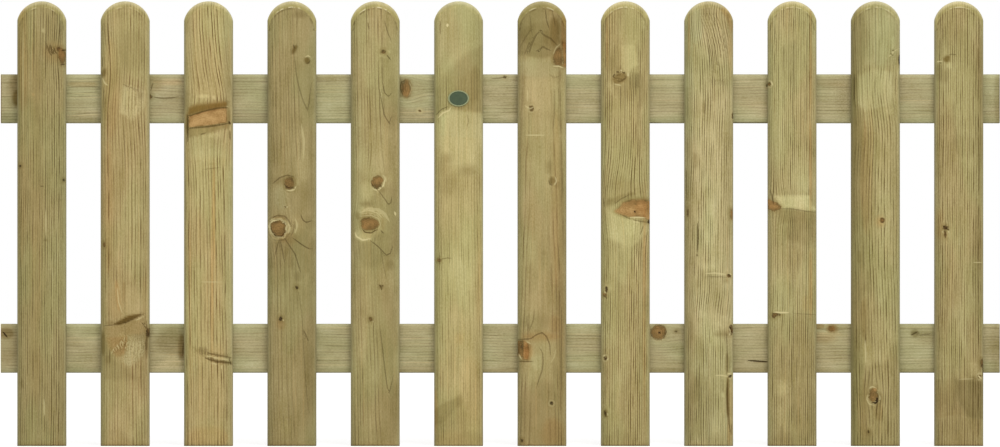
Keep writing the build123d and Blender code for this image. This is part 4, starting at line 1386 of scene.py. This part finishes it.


# %% [markdown]
# ## The wood
# Softwood shows its growth rings as lines: each ring starts pale and soft in spring and ends in a thin dark band. A
# ring is a tube round the tree's middle, so the distance from the pith, divided by the ring's width, gives lines on
# the face, on the edges and on the sawn ends that all agree. Slow noise makes the lines drift, fine noise stretched
# along the grain gives the fibres, and the green-brown cast of the preservative varies in clouds over them.
# The colours are set one by one, until the boards' mean tones agree with the photo's. A tint is what a change leaves of
# the red, green and blue of the wood.

# %% Colours of the wood
GREY_PALE, GREY_DARK = srgb(186, 174, 132), srgb(112, 98, 60)
OLIVE_PALE, OLIVE_DARK = srgb(176, 161, 108), srgb(96, 78, 38)
TAN_PALE, TAN_DARK = srgb(188, 166, 113), srgb(108, 78, 36)
BLEACHED, SPLIT = srgb(210, 197, 145), srgb(44, 32, 18)
# The second colour is a pale painted sheen for the rounded long edges; the third is the sawn ends' weathered pale, with
# a painted highlight on the rounded top.
SAWN, EDGE_SHEEN, WEATHERED_AND_LIT_TOP = srgb(172, 161, 98), srgb(164, 158, 122), srgb(216, 206, 164)
KNOT_STOPS = [
    (0.0, srgb(186, 150, 96)), (0.25, srgb(158, 122, 71)), (0.5, srgb(126, 99, 54)), (0.75, srgb(86, 66, 34)),
    (1.0, srgb(32, 24, 14)),
]
CLOUD_TINT, STRAND_TINT = (0.93, 1.0, 0.95), (1.05, 0.94, 0.82)
LIGHT_TINT, DIM_TINT = (0.98, 1.0, 1.13), (1.02, 1.0, 0.82)
# Painted shade for the left edge and a painted highlight for the right one, as the lamp falls from the right.
LEFT_EDGE_SHADE, RIGHT_EDGE_HIGHLIGHT = (0.85, 0.87, 0.84), (1.08, 1.10, 1.12)
FADED, BROWNED, VEINED = (1.42, 1.50, 1.66), (0.42, 0.35, 0.20), (0.24, 0.18, 0.09)
REDDENED, GREENED, NEAR_KNOT = (1.08, 0.78, 0.56), (0.93, 1.02, 1.12), (0.80, 0.76, 0.68)
GAMMA = 2.2


def between(a, b, share):
    """A colour part of the way from one to another."""
    return tuple(x + (y - x) * share for x, y in zip(a, b))


def wood_colours(board):
    """The pale colour of a board's growth rings, and what their dark lines leave of it."""
    other_pale, other_dark = (TAN_PALE, TAN_DARK) if board.warmth > 0 else (GREY_PALE, GREY_DARK)
    pale = between(OLIVE_PALE, other_pale, abs(board.warmth))[:3]
    dark = between(OLIVE_DARK, other_dark, abs(board.warmth))[:3]
    gain = board.light**GAMMA
    return [channel * gain for channel in pale], [d / p for d, p in zip(dark, pale)]


# %% [markdown]
# The nodes start from the vertex numbers and from a set of noises. A noise is given by how often it changes per
# millimetre across and along the grain, its detail and its roughness. Each board looks at another part of them.

# %% Numbers and noises
NOISES = {
    "drift": (0.010, 0.0042, 2.0, 0.5), "ripple": (0.05, 0.02, 1.0, 0.5), "fade": (0.22, 0.022, 1.0, 0.5),
    "fibre": (1.0, 0.022, 3.0, 0.65), "strand": (0.33, 0.0045, 2.0, 0.5), "wave": (0.03, 0.014, 2.0, 0.5),
    "cloud": (0.014, 0.005, 2.0, 0.5), "fleck": (0.7, 0.06, 2.0, 0.5), "grit": (0.7, 0.2, 2.0, 0.5),
    "blotch": (0.09, 0.07, 2.0, 0.5), "fuzz": (0.45, 0.36, 3.0, 0.6),
}
SAME_FOR_ALL = "fuzz"
SEED_STEP = 13.7
COLUMNS = {
    "grain": "across along depth", "knot": "knot_gap size tone", "stain": "bleach shade redden",
    "line": "gap half_gap line_tone", "edge": "rim ring_share side", "blend": "plain rough soft",
}


def noise(node, x, y, z, detail, roughness):
    """One noise at a place."""
    place = node("ShaderNodeCombineXYZ", None, {"X": x, "Y": y, "Z": z})
    inputs = {"Vector": place, "Scale": 1.0, "Detail": detail, "Roughness": roughness}
    return node("ShaderNodeTexNoise", {"noise_dimensions": "3D"}, inputs, "Fac")


def read_board(node, seed):
    """A board's vertex numbers and noises by name."""
    at = SimpleNamespace(start=SEED_STEP * seed)
    for attribute, names in COLUMNS.items():
        vector = node("ShaderNodeAttribute", {"attribute_name": attribute}, None, "Vector")
        vars(at).update(zip(names.split(), vector.split()))
    for name, (often, lengthwise, detail, roughness) in NOISES.items():
        x = at.across * often if name == SAME_FOR_ALL else at.across * often + at.start
        setattr(at, name, noise(node, x, at.along * lengthwise, at.depth * often, detail, roughness))
    return at


# %% [markdown]
# The rings fade where they lie flat in the face, as they do above the pith. Each has a strength of its own, by
# chance, and breaks up along its length.


# %% Growth rings and plain wood
def growth_rings(node, board, at):
    """How strongly the dark late wood and the pale early wood of a ring show."""
    to_side = at.across - at.along * (board.slope[0] * MM) - board.pith[0]
    to_back = at.depth - at.along * (board.slope[1] * MM) - board.pith[1]
    radius = (to_side * to_side + to_back * to_back).maths("SQRT")
    upright = (abs(to_side) / radius).step(0.25, 0.75)
    radius = radius + (at.drift - 0.5) * (2 * board.wander) + (at.ripple - 0.5) * (0.25 * board.wander)
    uneven = (noise(node, radius * 0.06 + at.start, 0.0, 0.0, 1.0, 0.5) - 0.5) * 2.0
    ring = radius / board.spacing + uneven
    phase = ring.maths("FRACT")
    number = ring.maths("FLOOR") + at.start
    chance = node("ShaderNodeTexWhiteNoise", {"noise_dimensions": "1D"}, {"W": number}, "Value")
    fade = at.fade.step(0.34, 0.62) * 0.85 + 0.2
    late = phase.step(0.45, 0.85) * (1.0 - phase.step(0.90, 1.0)) * (chance * 0.7 + 0.45) * fade * upright
    early = (1.0 - phase.step(0.05, 0.5)) * fade * upright
    return late, early


def plain_wood(node, board, at, late, early, ragged):
    """The wood's colour before any knot or line: rings, fibres, clouds and bleached patches, with painted sheen in its
    waves and clouds.
    """
    pale, dark_share = wood_colours(board)
    rounded = 1.0 - abs(at.side).step(2.0, 9.0)
    near_knot = at.knot_gap.step(0.0, 14.0) * 0.6 + 0.4
    calm = (1.0 - rounded * 0.6) * (1.0 - at.bleach * 0.75) * near_knot * (1.0 - at.plain)
    vein = (late * board.contrast * 1.25 + at.fleck.step(0.58, 0.74) * 0.25) * calm
    # The waves and clouds here are painted sheen, the shimmer of bent fibres; fibres, strands, grit and early wood are
    # the wood's own tone.
    tone_and_sheen = (at.fibre - 0.5) * 0.5 + (at.strand - 0.5) * 0.5 + (at.wave - 0.5) * (1.1 * board.wave)
    tone_and_sheen = tone_and_sheen + (at.cloud - 0.5) * 0.4 + (at.grit - 0.5) * 0.5
    tone_and_sheen = tone_and_sheen + early * calm * (0.14 * board.contrast) + (at.fuzz - 0.5) * (at.rough * 1.4 + 0.35)
    worn = (abs(at.side).step(3.0, 26.0) - 0.55) * board.worn
    colour = node("ShaderNodeVectorMath", {"operation": "SCALE"}, {0: pale, "Scale": tone_and_sheen + 1.0 + worn})
    colour = colour.towards(colour.tinted(CLOUD_TINT), at.cloud.step(0.42, 0.62))
    colour = colour.towards(colour.tinted(STRAND_TINT), at.strand.step(0.55, 0.75) * 0.6)
    colour = colour.towards(colour.tinted(LIGHT_TINT), tone_and_sheen.step(0.0, 0.30))
    colour = colour.towards(colour.tinted(DIM_TINT), (-tone_and_sheen).step(0.0, 0.30))
    colour = colour.towards(colour.tinted(FADED), at.bleach * ragged)
    return colour.towards(colour.tinted(dark_share), vein)


# %% [markdown]
# The long edges carry a pale painted sheen, with painted shade on the left one and a painted highlight on the right
# one, as the lamp falls from the right. The sawn top shows the ends of the fibres and is weathered pale, with a painted
# highlight where it faces up. Under its edge runs a torn line where the saw came out, deepened with painted shade, and
# a painted highlight runs along the edge. Knots, stains and lines come last, each with a ragged outline.


# %% Edges, knots and lines
def with_edges(board, at, colour):
    """Painted sheen, shade and highlight along the long edges; weathering, torn grain, painted shade and painted
    highlights at the sawn top.
    """
    # Painted shade on the left edge and a painted highlight on the right edge, then a pale painted sheen on both long
    # edges.
    painted_left_shade = at.side.step(-12.0, -5.0) * (1.0 - at.side.step(-0.5, 0.0))
    painted_right_highlight = (1.0 - at.side.step(3.0, 8.0)) * at.side.step(-0.5, 0.5)
    colour = colour.towards(colour.tinted(LEFT_EDGE_SHADE), painted_left_shade)
    colour = colour.towards(colour.tinted(RIGHT_EDGE_HIGHLIGHT), painted_right_highlight)
    colour = colour.towards(EDGE_SHEEN, (1.0 - abs(at.side).step(0.0, 6.0)) * 0.4)
    sawn = at.rim.step(0.0, 1.6)
    colour = colour.towards(SAWN, sawn * (0.2 + 0.4 * board.torn))
    # The outer part of the round-over is weathered pale, with a painted highlight where it faces up.
    colour = colour.towards(WEATHERED_AND_LIT_TOP, at.rim.step(3.0, 13.0) * 0.75)
    # The dark line under the top's edge is torn grain with painted shade; the pale line along the edge is a painted
    # highlight.
    torn = at.rim.step(-4.5, -1.0) * (1.0 - at.rim.step(-0.6, 0.6)) * at.blotch.step(0.42, 0.60) * board.torn
    arris_highlight = at.rim.step(-0.4, 0.6) * (1.0 - at.rim.step(1.4, 2.8)) * at.blotch.step(0.46, 0.58)
    arris_highlight = arris_highlight * (1.0 - abs(at.across).step(18.0, 34.0)) * board.torn
    colour = colour.scaled((at.blotch - 0.5) * sawn * 0.6 + 1.0)
    colour = colour.towards(colour.tinted(BROWNED), torn * 0.8)
    return colour.towards(WEATHERED_AND_LIT_TOP, arris_highlight)


def with_knots(node, at, colour):
    """Knots with their rings and outlines, and how much of a knot's heart a point lies in."""
    jitter = (at.fuzz - 0.5) * 8.0 * (at.size * 0.25).at_most(1.0)
    jitter = jitter + (at.blotch - 0.5) * 8.0 * (at.size * 0.12).at_most(1.0)
    gap = at.knot_gap + jitter * at.tone.step(0.0, 0.3)
    heart = 1.0 - gap.step(-at.soft, at.soft)
    inside = (-at.knot_gap / at.size).at_least(0.0)
    growth = (at.knot_gap * 2.2 + at.fuzz * 6.0).maths("SINE") * 0.06
    darker = (1.0 - inside.step(0.0, 0.7)) * 0.10 + (at.blotch - 0.5) * 0.8 + (at.fuzz - 0.5) * 0.5
    knot_colour = node("ShaderNodeValToRGB", {"stops": KNOT_STOPS}, {"Fac": at.tone + growth + darker}, "Color")
    around = gap.step(0.4, 1.6) * (1.0 - gap.step(2.5, 5.5)) * at.ring_share
    outline = gap.step(-2.2, -0.4) * (1.0 - gap.step(0.2, 1.8)) * at.blotch.step(0.42, 0.62)
    colour = colour.towards(colour.tinted(NEAR_KNOT), 1.0 - at.knot_gap.step(0.0, 8.0))
    colour = colour.towards(BLEACHED, around * 0.75)
    whorl = (at.knot_gap * 1.2 + at.fuzz * 3.0).maths("SINE")
    whorl = whorl * (1.0 - at.knot_gap.step(4.0, 16.0)) * at.ring_share.step(0.4, 1.0)
    colour = colour.scaled(whorl * 0.2 + 1.0)
    colour = colour.towards(knot_colour, heart * 0.95)
    return colour.towards(colour.tinted(BROWNED), outline * 0.5), heart


def with_stains(at, colour, ragged):
    """Dark, red and green patches."""
    colour = colour.towards(colour.tinted(BROWNED), at.shade * ragged)
    colour = colour.towards(colour.tinted(REDDENED), at.redden.at_least(0.0) * ragged)
    return colour.towards(colour.tinted(GREENED), (-at.redden).at_least(0.0) * ragged)


def with_lines(at, colour):
    """Veins, splits and pale ridges, and how far a point is split."""
    opening = 1.0 - (abs(at.gap) - at.half_gap + (at.fuzz - 0.5) * 1.2).step(-0.3, 0.9)
    split = opening * at.line_tone.at_least(0.0)
    colour = colour.towards(colour.tinted(VEINED), split)
    colour = colour.towards(SPLIT, opening * at.line_tone.step(0.75, 1.0) * 0.8)
    return colour.towards(BLEACHED, opening * (-at.line_tone).at_least(0.0)), split


# %% [markdown]
# Late wood and splits lie a little lower than the rest, and fibres and knots stand up, which the bump shows. Planed
# softwood is dull, and a knot is a little smoother than the wood round it.

# %% The wood of one board
BUMP = 0.8
DULL = 0.1  # how much the surface mirrors


def board_wood(name, board, seed):
    """The finish of one board, from its vertex numbers."""
    material, node = new_material(name)
    at = read_board(node, seed)
    late, early = growth_rings(node, board, at)
    ragged = at.fuzz * 0.5 + at.fibre * 0.5 + 0.5
    colour = plain_wood(node, board, at, late, early, ragged)
    colour = with_edges(board, at, colour)
    colour, heart = with_knots(node, at, colour)
    colour = with_stains(at, colour, ragged)
    colour, split = with_lines(at, colour)
    height = late * -0.10 + at.fibre * 0.12 + heart * 0.12 - split + at.fuzz * 0.08
    bump = node("ShaderNodeBump", None, {"Strength": BUMP, "Distance": MM, "Height": height}, "Normal")
    roughness = at.fibre * 0.12 + 0.70 - heart * 0.1
    end_in_surface(node, {"Base Color": colour, "Roughness": roughness, "Specular IOR Level": DULL, "Normal": bump})
    return material


# %% [markdown]
# ## Dressing the boards
# Each board is a copy of its blank with its own mesh, moved to its place. Then it gets its vertex numbers and its wood.

# %% Copies in their places
BOARD_SMOOTH = math.radians(24)


def copy_of(blank_piece, name, shift):
    """A copy with its own mesh, moved, with the move kept in the mesh."""
    activate(blank_piece)
    bpy.ops.object.duplicate(linked=False)
    piece = bpy.context.object
    piece.name = name
    piece.data.name = name
    bpy.ops.transform.translate(value=shift)
    bpy.ops.object.transform_apply(location=True, rotation=False, scale=False)
    bpy.ops.object.shade_smooth_by_angle(angle=BOARD_SMOOTH)
    return piece


def vertex_places(piece):
    """The places of a mesh's vertices, in millimetres."""
    places = np.empty(len(piece.data.vertices) * 3)
    piece.data.vertices.foreach_get("co", places)
    return (places.reshape(-1, 3) / MM).T


def fit(piece, node_name):
    """Puts a finished piece in the place of its solid."""
    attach(piece, "root")
    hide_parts(node_name)


def dress(piece, name, seed, across, along, depth, rim):
    """Gives a board its marks and its wood, and puts it in the place of its solid."""
    mark_board(piece, boards[name], across, along, depth, rim)
    cover(piece, board_wood(f"{name}_wood", boards[name], seed))
    fit(piece, name)


# %% [markdown]
# The finish may be baked into one picture per board, and for that the board's surface has to lie flat in a square.
# Blender can lay it out by itself, but a whole board is so long that most of the square would stay empty. So the
# board is cut into lengths. The front, back and two edges of each length stand side by side as columns, the two ends
# lie in a row above the columns, and the walls of the screw holes are unrolled above the ends.

# %% Boards laid flat
PATTERN_GAP = 4.0  # millimetres between two parts of the flat pattern
PICKET_LENGTHS = 2
RAIL_LENGTHS = 3
WALL_LEAN = 0.6  # how far a hole's wall may face out of the board
HOLE_MARGIN = 1.0
ALONG, DEPTH = 1, 2  # axes of a board


def face_numbers(mesh, axes):
    """A mesh's face normals, how many corners each face has, and the vertices at the corners."""
    normals = np.empty(len(mesh.polygons) * 3, np.float32)
    sizes = np.empty(len(mesh.polygons), np.int32)
    corners = np.empty(len(mesh.loops), np.int32)
    mesh.polygons.foreach_get("normal", normals)
    mesh.polygons.foreach_get("loop_total", sizes)
    mesh.loops.foreach_get("vertex_index", corners)
    return normals.reshape(-1, 3)[:, axes], sizes, corners


def unrolled(hole, spot, middle, owner):
    """How far round a hole each corner lies, counted so that no face is torn in two."""
    face_turn = np.arctan2(middle[:, 1] - hole[1], middle[:, 0] - hole[0])[owner]
    turn = np.arctan2(spot[:, 1] - hole[1], spot[:, 0] - hole[0]) - face_turn
    return face_turn + np.remainder(turn + math.pi, 2 * math.pi)


def lay_flat(piece, axes, place, lengths, holes):
    """Maps a board's surface. Axes, place and holes are in the order across, along, depth."""
    normals, sizes, corners = face_numbers(piece.data, axes)
    owner = np.repeat(np.arange(len(sizes)), sizes)
    low = place.min(axis=0)
    wide, long, thick = place.max(axis=0) - low
    spot = place[corners] - low
    middle = np.add.reduceat(spot, np.cumsum(sizes) - sizes) / sizes[:, None]
    facing = np.abs(normals).argmax(axis=1)
    onward = (normals[np.arange(len(sizes)), facing] > 0).astype(int)

    cut = long / lengths
    part = np.clip(middle[:, 1] // cut, 0, lengths - 1)
    starts = np.cumsum([PATTERN_GAP, wide + PATTERN_GAP, wide + PATTERN_GAP, thick + PATTERN_GAP])
    columns = starts[-1] + thick
    side = lengths * columns + PATTERN_GAP
    left = starts[np.where(facing == DEPTH, onward, 2 + onward)] + part * columns
    u = np.where((facing == DEPTH)[owner], spot[:, 0], spot[:, 2]) + left[owner]
    v = spot[:, 1] - (part * cut)[owner] + PATTERN_GAP

    end_row = cut + 2 * PATTERN_GAP
    is_end = (facing == ALONG)[owner]
    u = np.where(is_end, spot[:, 0] + starts[onward][owner], u)
    v = np.where(is_end, spot[:, 2] + end_row, v)

    radius = MOUTH_RADIUS / MM
    cell, row = 2 * math.pi * radius + PATTERN_GAP, thick + PATTERN_GAP
    in_row = int((side - PATTERN_GAP) / cell)
    for index, hole in enumerate(np.array(holes) - low[:2]):
        near = np.hypot(*(middle[:, :2] - hole).T) < radius + HOLE_MARGIN
        wall = (near & (np.abs(normals[:, DEPTH]) < WALL_LEAN))[owner]
        turn = unrolled(hole, spot, middle, owner)
        u = np.where(wall, turn * radius + PATTERN_GAP + index % in_row * cell, u)
        v = np.where(wall, spot[:, 2] + end_row + row + index // in_row * row, v)
    pattern = piece.data.uv_layers.new(name="OFBake")
    pattern.uv.foreach_set("vector", (np.stack([u, v], axis=1) / side).astype(np.float32).ravel())


# %% [markdown]
# Now the boards take their places, and their blanks go. The pickets' feet are a little darker and redder, with a dark
# line along their lower edge. The sawn ends are told apart by their distance from the top's round-over.

# %% Boards in their places
NOT_SAWN = -20.0  # inside the sawn top's round-over
SAWN_END = 6.0
END_DEPTH = 0.2  # millimetres
DARKER_FOOT = Patch((0, -4, 200, 20), dark=0.2, red=0.2, soft=6)
FOOT_EDGE = Line([(-60, 0.8), (60, 0.8)], 2.4, 0.5)
FIRST_RAIL_SEED = 21

for seed, name in enumerate(picket_names, start=1):
    piece = copy_of(blank, f"{name}_board", (picket_centres[name], 0, 0))
    x, y, z = vertex_places(piece)
    across, depth = x - picket_centres[name] / MM, y - front_y / MM
    from_centre = np.hypot(across, z - round_centre / MM)
    rim = from_centre - (ARC_RADIUS + ROUND_DROP - ROUND_ON_FACE) / MM
    rim = np.where(z > round_centre / MM, rim, np.where(z < END_DEPTH, SAWN_END, NOT_SAWN))
    boards[name].patches.append(DARKER_FOOT)
    boards[name].lines.append(FOOT_EDGE)
    screws = [(dx / MM, (height + dz) / MM) for height in rail_heights.values() for dx, dz in crossing]
    lay_flat(piece, (0, 2, 1), np.stack([across, z, depth], axis=1), PICKET_LENGTHS, screws)
    dress(piece, name, seed, across, z, depth, rim)
bpy.data.objects.remove(blank)

for seed, name in enumerate(rails, start=FIRST_RAIL_SEED):
    piece = copy_of(rail_blank, f"{name}_board", (0, 0, rail_heights[name] - rail_heights["upper_rail"]))
    x, y, z = vertex_places(piece)
    across, depth = z - rail_heights[name] / MM, y - seam_y / MM
    rim = np.where(np.abs(x) > rails[name][1].x / MM - END_DEPTH, SAWN_END, NOT_SAWN)
    screws = [(dz / MM, (centre + dx) / MM) for centre in picket_centres.values() for dx, dz in crossing]
    lay_flat(piece, (2, 0, 1), np.stack([across, x, depth], axis=1), RAIL_LENGTHS, screws)
    dress(piece, name, seed, across, x, depth, rim)
bpy.data.objects.remove(rail_blank)

# %% [markdown]
# ## The badge
# A small oval plate of moulded plastic is pinned to the sixth picket, with a raised rim round a bare field. It is a
# short round bar squeezed to an oval; insetting its front face leaves the rim, and moving the inner face in sinks the
# field. Two pins on its back sit in the wood.

# %% Oval badge
BADGE_STEPS = 96
BADGE_RIM = 2.2 * MM
BADGE_SINK = 0.9 * MM
BADGE_BAND = 1.0 * MM
BADGE_ROUND = 0.6 * MM
BADGE_SEGMENTS = 4
BADGE_SMOOTH = math.radians(35)
SHARP = 1.0  # radians between the faces at an edge
PIN_RADIUS = 1.25 * MM
PIN_ACROSS = 9.0 * MM
PIN_ROOT = 1.0 * MM  # how deep a pin starts in the plate

badge_low, badge_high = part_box("oval_badge")
badge_x, badge_z = (badge_low.x + badge_high.x) / 2, (badge_low.z + badge_high.z) / 2
badge_wide, badge_tall = badge_high.x - badge_low.x, badge_high.z - badge_low.z
badge = round_bar(0.5, badge_x, badge_z, badge_low.y, front_y, BADGE_STEPS, (badge_wide, badge_tall, 1))
badge.name = "oval_badge_plate"
pick(badge, "FACE", lambda face: face.normal.y < -SQUARELY)
bpy.ops.mesh.inset(thickness=BADGE_RIM, depth=0)
bpy.ops.mesh.extrude_region_move(TRANSFORM_OT_translate={"value": (0, BADGE_SINK, 0)})
bpy.ops.mesh.inset(thickness=BADGE_BAND, depth=0)
round_edges(
    badge, BADGE_ROUND, BADGE_SEGMENTS,
    lambda edge: all(v.co.y < badge_low.y + HAIR for v in edge.verts) and edge.calc_face_angle(0) > SHARP,
)
bpy.ops.object.mode_set(mode="OBJECT")
for side in (-1, 1):
    pin = round_bar(PIN_RADIUS, badge_x + side * PIN_ACROSS, badge_z, front_y - PIN_ROOT, badge_high.y, HOLE_STEPS)
    carve(badge, "UNION", pin)
activate(badge)
bpy.ops.object.shade_smooth_by_angle(angle=BADGE_SMOOTH)
print("badge:", len(badge.data.polygons), "faces")

# %% [markdown]
# The plate is dark green, and its rim is pale. How far a point lies from the middle, as a share of the oval, tells the
# rim from the field.

# %% Badge plastic
FIELD_DARK, FIELD_PALE, RIM_PALE = srgb(54, 68, 47), srgb(80, 93, 68), srgb(144, 148, 108)
DUST_SCALE, SMUDGE_SCALE = 900.0, 140.0  # per metre

plastic, node = new_material("badge_plastic")
place = node("ShaderNodeTexCoord", None, None, "Object")
local = node("ShaderNodeMapping", None, {"Vector": place, "Location": (-badge_x, 0, -badge_z)}).split()
out_x, out_z = ((local[axis] * (2 / size)).maths("POWER", 2) for axis, size in ((0, badge_wide), (2, badge_tall)))
on_rim = (out_x + out_z).maths("SQRT").step(0.84, 0.88)
dust = node("ShaderNodeTexNoise", None, {"Vector": place, "Scale": DUST_SCALE, "Detail": 3.0}, "Fac")
smudge = node("ShaderNodeTexNoise", None, {"Vector": place, "Scale": SMUDGE_SCALE, "Detail": 2.0}, "Fac")
colour = node("ShaderNodeMix", {"data_type": "RGBA"}, {0: smudge, 6: FIELD_DARK, 7: FIELD_PALE}, 2)
colour = colour.towards(RIM_PALE, on_rim).scaled(dust * 0.25 + 0.88)
bump = node("ShaderNodeBump", None, {"Strength": 0.4, "Distance": 0.2 * MM, "Height": dust}, "Normal")
roughness = smudge * 0.2 + 0.5
end_in_surface(node, {"Base Color": colour, "Roughness": roughness, "Specular IOR Level": 0.2, "Normal": bump})
cover(badge, plastic)
fit(badge, "oval_badge")
print("badge plastic:", len(plastic.node_tree.nodes), "nodes")

# %% [markdown]
# ## The screws
# The screws' solids have the right shape, so they stay and only get a finish: yellow zinc, a little uneven in colour
# and gloss, with fine scratches.

# %% Screws
ZINC_DARK, ZINC_PALE = srgb(196, 170, 96), srgb(214, 198, 150)
ZINC_SCALE, SCRATCH_SCALE = 400.0, 2500.0  # per metre

zinc, node = new_material("yellow_zinc")
place = node("ShaderNodeTexCoord", None, None, "Object")
blotch = node("ShaderNodeTexNoise", None, {"Vector": place, "Scale": ZINC_SCALE, "Detail": 3.0}, "Fac")
scratch = node("ShaderNodeTexNoise", None, {"Vector": place, "Scale": SCRATCH_SCALE, "Detail": 2.0}, "Fac")
colour = node("ShaderNodeMix", {"data_type": "RGBA"}, {0: blotch, 6: ZINC_DARK, 7: ZINC_PALE}, 2)
bump = node("ShaderNodeBump", None, {"Strength": 0.3, "Distance": 0.05 * MM, "Height": scratch}, "Normal")
end_in_surface(node, {"Base Color": colour, "Metallic": 1.0, "Roughness": blotch * 0.25 + 0.25, "Normal": bump})
screw_nodes = [solid for name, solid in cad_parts.items() if name.endswith("_screws")]
for solid in screw_nodes:
    cover(solid, zinc)
print("screws: one finish on", len(screw_nodes), "nodes")

# %% [markdown]
# ## Sizes
# The dressed panel has to stay in the solid model's box.
